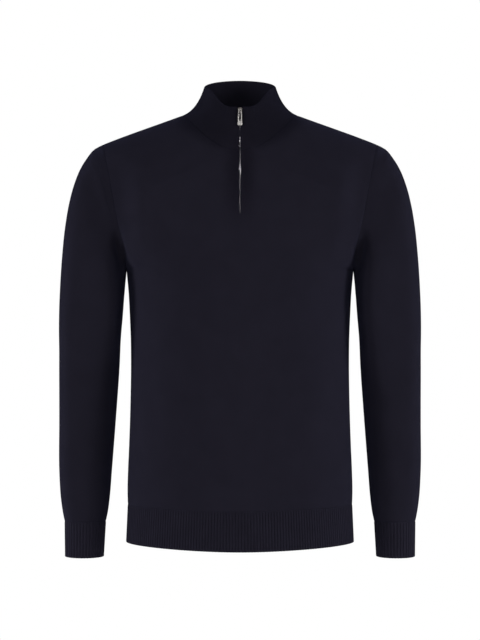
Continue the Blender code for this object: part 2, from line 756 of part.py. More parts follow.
def make_slider(place, finish):
    """Two plates joined by a wedge, with a bridge on the front one that holds the pull."""
    s, b = SLIDER, BRIDGE
    top, foot = -0.4, -0.4 - s["height"]
    shield = [(-s["half_top"], top - 1.5), (-s["half_top"] + 1.4, top), (s["half_top"] - 1.4, top)]
    shield += [(s["half_top"], top - 1.5), (s["half_foot"], foot), (-s["half_foot"], foot)]
    front_face, front_rear = s["face"] + 1.2, s["face"] + 1.2 + s["plate"]
    rear_face = ZIP_DEPTH + CHAIN_THICK + 0.35

    def plate(name, near, far):
        points, faces = prism(name, shield, near, far)
        return solid(name, [(a, y, z) for y, a, z in points], faces, finish, place, bevel=0.25)

    body = plate("zip_slider", front_face, front_rear)
    join(body, plate("slider_back", rear_face, rear_face + s["back_plate"]))
    half = s["wedge"]
    wedge = [(-half, top - 0.6), (half, top - 0.6), (half * 0.5, top - 2.6), (-half * 0.5, top - 2.6)]
    points, faces = prism("wedge", wedge, front_rear - 0.5, rear_face + 0.5)
    join(body, solid("slider_wedge", [(a, y, z) for y, a, z in points], faces, finish, place))
    out, inside = -PIVOT_OUT, b["clear"]
    middle = -PIVOT_DROP
    outer_r = inside + b["thick"]
    arch = []
    for k in range(9):
        a = math.pi * k / 8
        arch.append((out - outer_r * math.sin(a), middle + outer_r * math.cos(a)))
    arch.append((front_face + 0.6, middle - outer_r))
    arch.append((front_face + 0.6, middle - inside))
    for k in range(9):
        a = math.pi * (8 - k) / 8
        arch.append((out - inside * math.sin(a), middle + inside * math.cos(a)))
    arch.append((front_face + 0.6, middle + inside))
    arch.append((front_face + 0.6, middle + outer_r))
    points, faces = prism("bridge", arch, -b["half"], b["half"])
    join(body, solid("slider_bridge", points, faces, finish, place))
    return body


def make_pull(place, finish):
    """A long loop that hangs from its crossbar under the bridge, with a solid foot to hold."""
    p = PULL
    pivot = place[0] + place[1].to_matrix() @ Vector((0, -PIVOT_OUT, -PIVOT_DROP)) * MM
    top, foot, r = p["bar"] + 0.05, -p["length"], 1.1
    outline = [(-p["half_top"] + 0.6, top), (p["half_top"] - 0.6, top), (p["half_top"], top - 0.6)]
    outline += [(p["half_foot"], foot + r), (p["half_foot"] - r * 0.3, foot + r * 0.3)]
    outline += [(p["half_foot"] - r, foot), (-p["half_foot"] + r, foot)]
    outline += [(-p["half_foot"] + r * 0.3, foot + r * 0.3), (-p["half_foot"], foot + r)]
    outline += [(-p["half_top"], top - 0.6)]
    points, faces = prism("zip_pull", outline, -p["thick"] / 2, p["thick"] / 2)
    pull = solid("zip_pull", [(a, y, z) for y, a, z in points], faces, finish, (pivot, place[1]), bevel=0.2)
    w, low, high = p["window"], -p["window_end"], -p["bar"]
    window = [(w * math.cos(a), low + w + w * math.sin(a)) for a in np.linspace(math.pi, 2 * math.pi, 7)]
    window += [(w, high), (-w, high)]
    points, faces = prism("window", window, -p["thick"], p["thick"])
    cutter = solid("pull_window", [(a, y, z) for y, a, z in points], faces, None, (pivot, place[1]))
    cut = pull.modifiers.new("window", "BOOLEAN")
    cut.operation, cut.object, cut.solver = "DIFFERENCE", cutter, "EXACT"
    cutter.hide_render = True
    cutter.display_type = "WIRE"


def make_zip(face, rows_z, finishes):
    """rows_z are the heights at which the cloth beside the zip bends."""
    zs = [SLIT_END_Z - 8] + [z for z in rows_z if SLIT_END_Z - 1 < z < ZIP_TOP_Z - 3] + [ZIP_TOP_Z - 0.6]
    across = np.linspace(TAPE["inner"], TAPE["outer"], 4)
    strip("zip_tape_left", face, list(across), zs, ZIP_DEPTH, TAPE["thick"], finishes["tape"])
    strip("zip_tape_right", face, list(-across), zs, ZIP_DEPTH, TAPE["thick"], finishes["tape"])
    top = CHAIN_TOP_Z - SLIDER["height"] / 2
    zs = [CHAIN_END_Z] + [z for z in rows_z if CHAIN_END_Z + 2 < z < top - 2] + [top]
    xs = [-CHAIN_HALF, 0, CHAIN_HALF]
    strip("zip_chain", face, xs, zs, ZIP_DEPTH, CHAIN_THICK, finishes["metal"])
    zs = [CHAIN_END_Z - 0.35 - STOP_HEIGHT, CHAIN_END_Z - 0.35]
    strip("zip_bottom_stop", face, xs, zs, ZIP_DEPTH, CHAIN_THICK, finishes["metal"])
    place = zip_place(face)
    make_slider(place, finishes["metal"])
    make_pull(place, finishes["metal"])


# ================================================================ the sweater
def main():
    for obj in list(bpy.data.objects):
        bpy.data.objects.remove(obj)
    finishes = {
        "knit": material("navy_knit", NAVY, 0.85),
        "rib": material("navy_rib", NAVY_RIB, 0.85),
        "tape": material("zip_tape", NAVY_TAPE, 0.8),
        "metal": material("nickel", NICKEL, 0.28, 1.0),
    }
    front, back = open_slit(panel_half(FRONT)), panel_half(BACK)
    collar, rings = open_slit(collar_half()), sleeve_rings()
    pieces = {
        "front": (Cloth().grid(front).grid(mirrored(front), flip=True), KNIT, "knit"),
        "back": (Cloth().grid(back, flip=True).grid(mirrored(back)), KNIT, "knit"),
        "sleeve_left": (Cloth().grid(rings, flip=True, closed=True), KNIT, "knit"),
        "sleeve_right": (Cloth().grid(mirrored(rings), closed=True), KNIT, "knit"),
        "collar": (Cloth().grid(collar).grid(mirrored(collar), flip=True), COLLAR_CLOTH, "rib"),
    }
    cloths = {name: cloth for name, (cloth, _, _) in pieces.items()}
    body = [cloths.pop("front"), cloths.pop("back")]
    groups = [body] + [[cloth] for cloth in cloths.values()]
    fold_skin(groups)
    shared = shared_normals(groups)
    for name, (cloth, thick, finish) in pieces.items():
        normals = normals_of(cloth, shared, (RIB_SEAM_Z, CUFF_SEAM_Z))
        make_object(name, *wall(cloth, normals, thick), finishes[finish])
    make_hem(finishes["rib"])
    make_cuff("cuff_left", 1, finishes["rib"])
    make_cuff("cuff_right", -1, finishes["rib"])
    centre_rows = sorted({round(float(row[0][2]), 3) for row in (*front, *collar)})
    make_zip(Face([pieces["front"][0], pieces["collar"][0]]), centre_rows, finishes)


main()
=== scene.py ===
"""Looks of the quarter zip sweater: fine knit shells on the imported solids' form, with their creases,
ribs, zip teeth and finishes, and the studio round them.

Sizes are in millimetres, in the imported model's own frame: +Z up, the front faces -Y, the wearer's left
arm is at +X, and the origin lies between the high points of the shoulder seams. The pieces share the
points of the seams between them, get their folds together, and are then thickened inwards.
"""

import math
from collections import namedtuple

import bpy
import numpy as np
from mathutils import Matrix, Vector, kdtree


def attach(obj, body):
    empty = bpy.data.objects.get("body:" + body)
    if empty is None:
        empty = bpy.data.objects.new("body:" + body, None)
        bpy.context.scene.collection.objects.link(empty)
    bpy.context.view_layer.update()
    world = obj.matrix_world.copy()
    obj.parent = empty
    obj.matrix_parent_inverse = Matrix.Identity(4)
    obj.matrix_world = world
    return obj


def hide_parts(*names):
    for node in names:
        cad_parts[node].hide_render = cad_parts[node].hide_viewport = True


MM = 0.001
FRONT, BACK = -1, 1

# ---- cloth
KNIT = 1.5  # how thick the jersey is
COLLAR_CLOTH = 2.4  # both layers of the collar
RIB_RIDGE = 2.3
RIB_GROOVE = 1.5
SEAM_DRAW = 0.16  # each edge is drawn back this far from its line
SEAM_DIP = 0.2  # a linked seam sinks this far into the cloth
SEAM_WIDTH = 1.3
SEAM_SAMPLES = 6  # places on each edge from which the distance to the seam is taken
EDGE_STEPS = 5  # round an edge, from the outside to the inside
NEAR_SEAM = (0.8, 2.0)  # two more lines of points lie this close to each seam
STEP = 4.0  # between the lines of points elsewhere

# ---- body
RIB_SEAM_Z = -611.5
HEM_Z = -671.5
SIDE_SEAM_Y = -5.0
# (height, handle of a quarter of the section: 0.55 is an ellipse, less is flatter towards the sides)
FULLNESS = [(-671.5, 0.43), (-500, 0.45), (-350, 0.47), (-242, 0.50)]
# (height, half of the width at the side seams)
HALF_WIDTH = [
    (-671.5, 179.6), (-640, 178.2), (-611.5, 176.9), (-592, 177.3), (-562, 176.6), (-525, 175),
    (-487, 173.6), (-440, 172.4), (-392, 171.9), (-354, 172.2), (-316, 173.6), (-278, 175.6),
    (-258, 177.4), (-242, 179),
]
# (height, y) of the centre front and the centre back
FRONT_LINE = [
    (-671.5, -126), (-611.5, -119), (-540, -116.5), (-460, -115), (-390, -117), (-320, -122),
    (-243.5, -124), (-190, -119), (-140, -110.5), (-100, -98.5), (-62, -84),
]
BACK_LINE = [
    (-671.5, 112), (-611.5, 109), (-540, 105), (-460, 99), (-390, 98.5), (-320, 104), (-243.5, 110.5),
    (-190, 112.5), (-130, 108), (-80, 97), (-40, 83), (-14, 70),
]

# ---- armhole
ARMHOLE_BOW = 4.0  # how far the seam bows in towards the neck
BOW_LENGTH = 60.0  # down the sleeve, until the bow is gone
# (degrees round the armhole from the underarm, degrees that the panel turns back there)
PANEL_TURN = [(0, 90), (45, 77), (90, 55), (135, 27), (180, 0)]
PANEL_RISE = [(0, 0), (90, 12), (180, 22)]  # and degrees that it rises
# The front and back of the armhole are evened out: wholly up to the first distance from the seam and not
# at all from the second, and between these heights
BLEND_WIDTH = (14.0, 64.0)
BLEND_LOW = (-250.0, -200.0)
BLEND_HIGH = (-95.0, -60.0)
BLEND_ROUNDS = 500

# ---- neck and collar
# The neck seam is half an oval, front and back. The scoop says how late it sinks towards the centre.
NECK_HALF_WIDTH = 91.0
NECK_FRONT = (-84.0, -62.0)  # y, z of the seam at the centre front
NECK_BACK = (70.0, -14.0)
NECK_SCOOP = {FRONT: 2.3, BACK: 2.0}
NECK_QUARTER = 135.0  # length of the neck seam from the centre to the shoulder
SHOULDER_SLOPE = 20.0
CHEST_SLOPE = {FRONT: 68.0, BACK: 63.0}
SLOPE_POWER = 1.5  # how late the slope rises between the shoulder and the centre
ROW_DIP = 0.3  # how far the row at the centre of the neck seam has turned down
ROW_POWER = 0.7
Ring = namedtuple("Ring", "half_width side front back")  # the last three are y
FLARE = Ring(67.4, -1.0, -77.5, 57.0)
RIM = Ring(56.2, -3.0, -75.0, 54.0)
COLLAR_HEIGHT = 76.0
COLLAR_STEP = 3.0
# (degrees round from the centre front, height)
FLARE_HEIGHT = [(0, -28), (30, -18), (60, 2), (90, 9.5), (135, 20), (180, 25)]
RIM_HEIGHT = [
    (0, 5), (16, 5.5), (28, 10), (38, 19), (50, 31), (70, 41.5), (90, 46), (118, 54.5), (143, 60.4),
    (180, 64),
]

# ---- sleeve
Section = namedtuple("Section", "inner_x inner_y inner_z outer_x outer_y outer_z front back")
SLEEVE = [
    Section(*row)
    for row in (
        (179, -5, -242, 217, 8, -44.7, 63, 60),
        (179.5, -5, -243, 230.5, 8, -52, 64, 61),
        (179.8, -4.6, -247, 242.5, 8, -66.5, 64, 62),
        (180.2, -4, -251.5, 252.5, 8, -83, 64, 62),
        (180.7, -3.2, -257, 261.5, 8.2, -106, 64, 62),
        (181.3, -4.8, -264, 269.2, 8.6, -136, 63.5, 61),
        (182.1, -6.5, -273, 275.5, 9.2, -174, 63, 60),
        (183.3, -8.5, -287, 280.3, 9.8, -222, 62, 59),
        (185.1, -7.5, -310, 283.9, 10.5, -280, 60.5, 57.5),
        (188.4, -1, -352, 285.7, 11, -342, 58, 56),
        (192.4, 8.5, -412, 285.9, 11, -408, 52.5, 53),
        (197.6, 8.5, -488, 285.7, 5, -486, 45.5, 47.5),
        (202.6, 2, -560, 285, -2.5, -560, 42, 42.5),
        (205.5, -4, -602, 282.2, -5.5, -602, 38, 38.5),
        (208, -6.5, -623, 279.3, -6.5, -623, 33.5, 34),
        (211, -7.5, -638, 276.3, -7.5, -638, 28.5, 28.5),
    )
]
# (way down from the armhole, how round the section is: 1 is an ellipse, less is flatter)
SLEEVE_FLAT = [(0, 1), (30, 0.9), (80, 0.7), (150, 0.6), (230, 0.62), (330, 0.84), (440, 1), (620, 1)]
UNDERARM = np.array(SLEEVE[0][:3])
UNDERARM_Z = SLEEVE[0].inner_z
CUFF_SEAM_Z = -638.0
CUFF_Z = -693.7
CUFF_END = Section(214.0, -11.5, CUFF_Z, 275.2, -11.5, CUFF_Z, 25.5, 25.5)

# ---- rows of the panels
# (height on the centre line, degrees round the armhole at which the row ends)
CENTRE_ROWS = {
    FRONT: [
        (UNDERARM_Z, 0), (-217, 13), (-190, 26), (-164, 39), (-159, 42), (-125, 58), (-93, 73),
        (NECK_FRONT[1], 88),
    ],
    BACK: [
        (UNDERARM_Z, 0), (-208, 13), (-172, 26), (-138, 39), (-105, 52), (-73, 65), (-43, 77),
        (NECK_BACK[1], 89),
    ],
}
ROW_LENGTH = 200.0  # of which STEP and NEAR_SEAM are shares
ROW_HANDLES = (0.34, 0.335)  # of an upper row at both ends, as shares of its chord
SHOULDER_LEAN = (-150.0, -40.0, 1.6)  # between these heights the wales lean over, and by how much
RELAX = [0.5, -0.51]  # the shares of one round: smooth, then grow back
RELAX_ROUNDS = 120

# ---- folds
# Soft troughs and ridges. Each runs between two points and fades at both ends. LEFT is at +X, RIGHT is
# the same row with x turned round, and BOTH is each of these.
BOTH, LEFT, RIGHT = (1, -1), (1,), (-1,)
FOLD_ENDS = (0.12, 0.88)  # past these shares of its length a fold's height no longer falls
FOLD_POWER = 0.7
UNDERARM_CALM = 42.0  # the cloth is held at the underarm,
RIB_CALM = 14.0  # by a rib seam, and free this far from it,
ZIP_CALM = (5.0, 18.0)  # and by the zip's tape
ONLY_SLEEVE = (190.0, -300.0)  # past this x and below this height there is only the sleeve
CHEST_Y = -60.0  # the cloth beside the zip lies in front of this
BELOW_SLIT = 30.0
# (x, y, z and x, y, z of the ends, width, height or a depth below 0, side)
FOLDS = [
    # front of the armhole: the crease that rises from the underarm, and its shallow upper end
    (183, -34, -244, 189, -66, -192, 8, -9, BOTH),
    (188, -66, -206, 197, -76, -156, 8, -1.6, BOTH),
    # back of the armhole
    (186, 44, -226, 198, 66, -120, 20, -4, BOTH),
    (150, 96, -200, 176, 76, -130, 28, 2.2, BOTH),
    # drag from the underarm over the ribs
    (168, -64, -268, 110, -112, -318, 26, -2.2, LEFT),
    (168, -64, -262, 108, -114, -296, 24, -2.4, RIGHT),
    (168, 60, -276, 100, 98, -330, 28, -2.6, BOTH),
    # the small of the back
    (-125, 86, -455, 125, 86, -430, 26, -2.8, LEFT),
    (-110, 90, -520, 130, 90, -505, 28, -2.4, LEFT),
    # bend of the elbow: creased in front, drawn at the back
    (200, -36, -398, 284, -30, -372, 26, -2.4, BOTH),
    (196, 30, -350, 262, 58, -384, 28, -2, BOTH),
    # short creases that leave the armhole over the chest
    (176, -62, -232, 142, -96, -226, 11, -1.3, LEFT),
    (178, -60, -214, 150, -92, -196, 10, -1, LEFT),
    (177, -62, -238, 132, -102, -240, 12, -1.4, RIGHT),
    (180, -60, -196, 158, -86, -172, 10, -0.9, RIGHT),
    # soft planes down the sides of the body
    (148, -78, -352, 156, -72, -540, 22, -1.4, LEFT),
    (151, -74, -330, 150, -78, -500, 24, -1.5, RIGHT),
    (118, -98, -420, 128, -92, -590, 26, 1.1, LEFT),
    (112, -100, -395, 120, -96, -560, 28, 1, RIGHT),
    # the chest, from the shoulder down beside the zip
    (150, -78, -92, 96, -108, -176, 24, 1, LEFT),
    (144, -80, -88, 86, -110, -160, 26, 1.1, RIGHT),
    (72, -98, -96, 34, -114, -148, 14, -0.7, LEFT),
    (66, -100, -100, 40, -114, -156, 13, -0.6, RIGHT),
    # low waves over the hem rib
    (-134, -84, -590, -62, -110, -584, 11, 0.9, LEFT),
    (-52, -114, -594, 26, -118, -590, 10, 0.7, LEFT),
    (44, -116, -586, 128, -86, -592, 11, 0.9, LEFT),
    (-96, -102, -568, -10, -116, -562, 13, -0.7, LEFT),
    (30, -116, -566, 110, -98, -572, 12, -0.6, LEFT),
    (-150, 60, -590, -70, 98, -586, 12, 1, LEFT),
    (-40, 106, -592, 40, 107, -588, 11, 0.8, LEFT),
    (66, 99, -584, 146, 62, -590, 12, 1, LEFT),
    # back: between the shoulder blades, and down to the waist
    (52, 108, -112, 142, 84, -186, 18, -1.5, LEFT),
    (48, 108, -126, 148, 82, -204, 17, -1.3, RIGHT),
    (20, 110, -60, 110, 88, -74, 14, -0.8, BOTH),
    (110, 92, -252, 60, 106, -330, 18, -1.2, LEFT),
    (116, 90, -246, 70, 104, -310, 16, -1.3, RIGHT),
    (-140, 66, -404, -40, 97, -412, 16, -1.6, LEFT),
    (28, 98, -398, 140, 66, -388, 15, -1.4, LEFT),
    (-128, 72, -478, -20, 98, -484, 18, 1.3, LEFT),
    (10, 98, -474, 126, 74, -466, 17, 1.4, LEFT),
    (-96, 88, -546, 30, 103, -540, 17, -1.1, LEFT),
    (150, 70, -330, 156, 66, -520, 20, -1.3, BOTH),
    # sleeve head
    (232, -52, -96, 250, -48, -168, 13, -0.9, LEFT),
    (230, -52, -90, 246, -50, -156, 12, -1.1, RIGHT),
    (232, 58, -96, 252, 56, -178, 14, -1, BOTH),
    # inside of the upper arm
    (184, -30, -262, 214, -52, -292, 11, -1.5, LEFT),
    (187, -34, -284, 222, -52, -322, 13, -1.4, LEFT),
    (186, -32, -300, 210, -50, -330, 11, -1.6, RIGHT),
    (184, -28, -268, 208, -52, -286, 10, -1.1, RIGHT),
    # front of the elbow
    (196, -34, -352, 262, -50, -338, 14, -1.4, LEFT),
    (203, -36, -430, 268, -46, -414, 13, -1.6, LEFT),
    (216, -46, -452, 280, -34, -462, 15, 1.1, LEFT),
    (198, -36, -366, 256, -50, -346, 13, -1.3, RIGHT),
    (201, -36, -422, 272, -44, -410, 14, -1.7, RIGHT),
    (212, -46, -470, 278, -34, -474, 16, 1, RIGHT),
    # back of the elbow and the forearm
    (204, 50, -402, 272, 50, -436, 16, -1.8, BOTH),
    (208, 48, -448, 268, 48, -470, 15, -1.3, LEFT),
    (206, 50, -366, 270, 56, -404, 15, 1.3, RIGHT),
    (270, 40, -340, 282, 26, -480, 18, -1.1, BOTH),
    (206, -28, -520, 262, -42, -536, 14, -1.2, LEFT),
    (207, -28, -506, 258, -44, -524, 15, -1.1, RIGHT),
    # the cloth gathers a little over the cuff
    (207, -26, -594, 250, -44, -600, 9, 0.9, LEFT),
    (232, -42, -612, 278, -24, -606, 8, 0.8, LEFT),
    (208, -28, -606, 252, -42, -610, 8, 0.9, RIGHT),
    (236, -42, -594, 280, -24, -598, 9, 0.8, RIGHT),
    (210, 26, -598, 262, 32, -604, 9, 0.9, BOTH),
    # collar: a soft roll where it turns up out of the neck seam
    (-58, -60, -24, 10, -80, -34, 9, 0.8, LEFT),
    (16, -80, -30, 62, -54, -14, 9, 0.8, LEFT),
    (34, -66, -4, 60, -38, 14, 9, -0.8, LEFT),
    (38, -64, -8, 62, -36, 10, 10, -0.7, RIGHT),
    (-50, 50, 22, 44, 54, 26, 11, -0.9, LEFT),
]

# ---- ribs
HEM_RIBS = 100  # in the front, and again in the back
CUFF_RIBS = 38
RIB_POINTS = 10  # across one rib and its groove
RIB_ROWS = 14
RIB_TOP_ROWS = (0.0, 1.0, 2.2, 4.0)  # below the seam, and then RIB_ROWS even ones
RIB_EVEN_FROM = 8.0
RIB_WALES = 4  # columns of stitches in one rib and its groove
RIB_SLOPE = (-0.45, 0.35)  # the cosine round a rib rises between these from the groove to the ridge
RIB_WOBBLE = 0.05  # how far a rib strays to the side, as a share of its width
RIB_WAVES = (0.9, 5.0, 7.0, 0.37)  # of two waves, round the band and down it
RIB_BACK = (2.6, 0.7)  # depth of the inside under a groove, and how much less it is under a ridge
RIB_START = 0.45  # the share of its height that a rib has at the seam,
RIB_FADE = 3.0  # and it has all of it this far below
RIB_EDGE = 1.1  # radius of the lower edge
RIB_EDGE_STEPS = 6

# ---- zip
SLIT_END_Z = -164.0
SLIT_HALF_AT_SLIDER = 3.7
SLIDER_ROOM = (-13.8, -27.0)  # that wide above the first height, and as in SLIT_GAPS below the second
SLIT_OPENS = 5.0  # over this length the slit widens from nothing
SLIT_REACH = 30.0  # the cloth is pushed aside for it up to this far from the centre
# (height, half of the gap): the two cloth edges nearly meet in places, and stray to one side
SLIT_GAPS = [
    (-164, 0.4), (-157, 0.72), (-149, 0.8), (-141, 0.55), (-135, 0.4), (-129, 0.25), (-122, 0.7),
    (-104, 0.8), (-96, 0.95), (-90.5, 1.65), (-85.5, 0.95), (-80, 0.7), (-68, 0.65), (-62.5, 0.45),
    (-60.3, -0.12), (-57.5, -0.12), (-55, 0.75), (-51, 1.05), (-43, 0.75), (-38, -0.05), (-31, -0.12),
    (-26, 0.1),
]
SLIT_STRAY = (0.5, 7.0, 11.0)  # how far, and over which two lengths
STRAY_WIDTH = 12.0
STRAY_END = 8.0  # it dies out over this length below the slider
FREE_EDGE = (6.0, 8.0)  # an edge this near to the slit or the rim isn't a seam
ZIP_DEPTH = COLLAR_CLOTH + 0.35
FIRST_TOOTH_Z = -6.35
CHAIN_END_Z = -163.0
TOOTH_PITCH = 0.98
TOOTH_HIGH, TOOTH_THICK, TOOTH_EDGE = 1.12, 1.9, 0.22  # the last is the softened edge
TOOTH_PROFILE = [(-0.75, 0.78), (-0.25, 1.0), (0.6, 0.86), (2.35, 0.8)]  # (x, share of its height)
CHAIN_SLOPE = 3.0  # half of the length over which the chain's direction is taken

# ---- knit
WALE = 1.25  # width of one column of stitches
COURSE = 0.95  # height of one row of stitches

# Painted shade beside the zip's top, and a darker collar, partly for its denser knit and partly painted
# shade. (from, to, share at from, share at to), in metres
ZIP_PAINTED_SHADE_ASIDE = (0.008, 0.031, 1.0, 0.0)  # from the centre line
ZIP_PAINTED_SHADE_HEIGHT = (-0.2, -0.1, 0.0, 1.0)
ZIP_PAINTED_SHADE_Y = -0.05  # only in front of this
NECK_KNIT_AND_SHADE_MIDDLE = (0.0, -0.02, 0.02)  # the neck seam runs about 0.1 from this point
NECK_KNIT_AND_SHADE_AWAY = (0.092, 0.114, 1.0, 0.0)
NECK_KNIT_AND_SHADE_DEPTH = (0.0, 0.05, 1.0, 0.1)  # less so at the back
# painted shade, and on the collar partly its denser knit, take this much from the knit's tone
DARKER_KNIT_AND_SHADE = 0.31  # taken from the knit's tone there

# (scale, detail, roughness) of a noise, with the two values that it runs between
PATCHES = (38.0, 3.0, 0.5), -0.1, 0.12
FIBRES = (2600.0, 2.0, 0.7), -0.22, 0.22
WOOL_ROUGHNESS = (900.0, 3.0, 0.5), 0.82, 0.97
TAPE_ROUGHNESS = (700.0, 3.0, 0.5), 0.5, 0.7
# and with the height in metres and the strength of its bumps
FUZZ = (3400.0, 2.0, 0.8), 0.00012, 0.5
UNEVEN = (240.0, 4.0, 0.6), 0.00035, 0.45
RUBBED = (2200.0, 2.0, 0.5), 0.00002, 0.35
WORN = (420.0, 4.0, 0.6)  # between the plate's two colours
PLATE_GRAIN = (1500.0, 3.0, 0.5)
STITCH_STRENGTH = 0.8
STITCH_SLANT = 1.3  # courses that a leg of a stitch rises over half a column
STITCH_WAVE = 0.28  # how deep the gap between two stitches of a column is
SHEEN_ROUGHNESS, SHEEN_TINT = 0.42, (0.5, 0.52, 1.0, 1)
TWILL = (5200.0, 7400.0)  # slope of the tape's twill, across and along
TWILL_BUMP = (0.00012, 0.7)
TAPE_COLOURS = (0.004, 0.004, 0.006), (0.014, 0.0135, 0.02)

# name: (slot, colour of the yarn, colour between the yarns, which is painted shade, depth of the
# stitches, sheen)
KNITS = {
    "merino_jersey": ("navy_knit", (0.0172, 0.0160, 0.0250), (0.0040, 0.0037, 0.0060), 0.32, 0.05),
    "merino_collar": ("navy_rib", (0.0172, 0.0160, 0.0250), (0.0040, 0.0037, 0.0060), 0.3, 0.04),
    # painted light: the ribs are the jersey's yarn made lighter, a little on the hem rib and more on the
    # cuffs
    "merino_hem_rib_painted_lighter": ("navy_rib", (0.0181, 0.0167, 0.0262), (0.0043, 0.0039, 0.0061), 0.3, 0.05),
    "merino_cuff_rib_painted_lighter": ("navy_rib", (0.0203, 0.0187, 0.0293), (0.0048, 0.0044, 0.0069), 0.3, 0.05),
}
# name: (roughness from, to, duller colour, brighter colour)
NICKELS = {
    "nickel_teeth": (0.07, 0.15, (0.44, 0.42, 0.45), (0.76, 0.73, 0.79)),
    "nickel_plate": (0.12, 0.24, (0.62, 0.59, 0.57), (0.93, 0.89, 0.87)),
    # the plate's nickel darkened to look shaded: painted shade on the slider and the bottom stop
    "nickel_painted_shade": (0.2, 0.36, (0.09, 0.08, 0.075), (0.17, 0.155, 0.15)),
}
HARDWARE = {"zip_pull": "nickel_plate", "zip_slider": "nickel_painted_shade", "zip_bottom_stop": "nickel_painted_shade"}

# piece: (node that it replaces, its knit, (width, length) that it is cut or knitted to, and its area
# where it isn't a rectangle, in metres)
SHEETS = {
    "knit_front": ("front", "merino_jersey", (0.47, 0.63), 0.269),
    "knit_back": ("back", "merino_jersey", (0.48, 0.65), 0.272),
    "knit_sleeve_left": ("sleeve_left", "merino_jersey", (0.40, 0.62), 0.170),
    "knit_sleeve_right": ("sleeve_right", "merino_jersey", (0.40, 0.62), 0.170),
    "knit_collar": ("collar", "merino_collar", (0.49, 0.08), 0.030),
    "rib_hem_front": ("hem_rib_front", "merino_hem_rib_painted_lighter", (0.456, 0.06), None),
    "rib_hem_back": ("hem_rib_back", "merino_hem_rib_painted_lighter", (0.453, 0.06), None),
    "rib_cuff_left": ("cuff_left", "merino_cuff_rib_painted_lighter", (0.185, 0.056), None),
    "rib_cuff_right": ("cuff_right", "merino_cuff_rib_painted_lighter", (0.185, 0.056), None),
}


# ======== curves
def smooth(table):
    """A smooth curve through the (position, value) rows of a table. It takes one position or many."""
    x, y = np.array(sorted(table), float).T
    step = np.diff(x)
    slope = np.diff(y) / step
    tangent = np.empty_like(y)
    tangent[0], tangent[-1] = slope[0], slope[-1]
    tangent[1:-1] = (slope[:-1] * step[1:] + slope[1:] * step[:-1]) / (step[:-1] + step[1:])

    def at(position):
        i = np.clip(np.searchsorted(x, position) - 1, 0, len(x) - 2)
        t = (position - x[i]) / step[i]
        a, b = y[i], y[i + 1]
        ta, tb = tangent[i] * step[i], tangent[i + 1] * step[i]
        return (
            a * (2 * t**3 - 3 * t**2 + 1)
            + ta * (t**3 - 2 * t**2 + t)
            + b * (3 * t**2 - 2 * t**3)
            + tb * (t**3 - t**2)
        )

    return at


def smooth_round(table):
    """A smooth curve through rows that go half way round, flat at both ends, where the halves meet."""
    (first, low), (last, high) = table[1], table[-2]
    return smooth([(-first, low), *table, (360 - last, high)])


half_width, fullness = smooth(HALF_WIDTH), smooth(FULLNESS)
centre_line = {FRONT: smooth(FRONT_LINE), BACK: smooth(BACK_LINE)}
armhole_degrees = {side: smooth(rows) for side, rows in CENTRE_ROWS.items()}
panel_turn, panel_rise = smooth(PANEL_TURN), smooth(PANEL_RISE)
flare_height, rim_height = smooth_round(FLARE_HEIGHT), smooth_round(RIM_HEIGHT)
slit_gap, sleeve_flat = smooth(SLIT_GAPS), smooth(SLEEVE_FLAT)


def unit(v):
    """Vectors of length 1 along these ones."""
    v = np.asarray(v, float)
    return v / np.maximum(np.linalg.norm(v, axis=-1, keepdims=True), 1e-12)


def ease(low, high, value):
    """0 below low, 1 above high, and a smooth rise between them."""
    t = np.clip((value - low) / (high - low), 0, 1)
    return t * t * (3 - 2 * t)


def bezier(p0, p1, p2, p3, t):
    t = np.asarray(t)[:, None]
    return (1 - t) ** 3 * p0 + 3 * (1 - t) ** 2 * t * p1 + 3 * (1 - t) * t**2 * p2 + t**3 * p3


def spaced(start, stop, seam_start, seam_end, step=STEP):
    """Values from start to stop about a step apart, with two more beside each end that is a seam."""
    values = list(np.linspace(start, stop, max(2, round(abs(stop - start) / step)) + 1))
    way = math.copysign(1, stop - start)
    if seam_start:
        values[1:1] = [start + way * d for d in NEAR_SEAM]
    if seam_end:
        values[-1:-1] = [stop - way * d for d in reversed(NEAR_SEAM)]
    return np.array(values)


COLUMN_SHARES = spaced(0, ROW_LENGTH, True, True) / ROW_LENGTH
NECK_SHARES = spaced(0, NECK_QUARTER, False, True)[1:] / NECK_QUARTER


def body_quarter(z, side, shares):
    """A quarter of the body's section at a height, from the centre line to the side seam at +X."""
    width, y = half_width(z), centre_line[side](z)
    start, end = np.array([0, y, z]), np.array([width, SIDE_SEAM_Y, z])
    along = np.array([fullness(z) * width, 0, 0])
    back = np.array([0, fullness(z) * (y - SIDE_SEAM_Y), 0])
    return bezier(start, start + along, end + back, end, shares)


def section_point(section, degrees, side, bow=0.0, flat=1.0):
    """A point of a sleeve section at +X: 0 is the inner end (the underarm), 180 the outer end. With
    flat at 1 it is an ellipse, and below 1 its front and back are flatter."""
    a = math.radians(degrees)
    inner, outer = np.array(section[:3]), np.array(section[3:6])
    depth = section.front if side == FRONT else section.back
    across = np.array([-bow, side * depth, 0])
    along = math.copysign(abs(math.cos(a)) ** flat, math.cos(a))
    return (inner + outer) / 2 - (outer - inner) / 2 * along + across * abs(math.sin(a)) ** flat


def neck_seam(degrees, side):
    """A point of the neck seam at +X: 0 is the shoulder, 90 the centre front or back."""
    a = math.radians(degrees)
    y, z = NECK_FRONT if side == FRONT else NECK_BACK
    sunk = math.sin(a) ** NECK_SCOOP[side]
    return np.array([NECK_HALF_WIDTH * math.cos(a), y * math.sin(a), z * sunk])


def away_from_neck(degrees, side):
    """The direction in which the cloth leaves the neck seam."""
    a = math.radians(degrees)
    share = math.sin(a) ** SLOPE_POWER
    slope = math.radians(SHOULDER_SLOPE + (CHEST_SLOPE[side] - SHOULDER_SLOPE) * share)
    level = np.array([math.cos(a), side * math.sin(a), 0]) * math.cos(slope)
    return level - np.array([0, 0, math.sin(slope)])


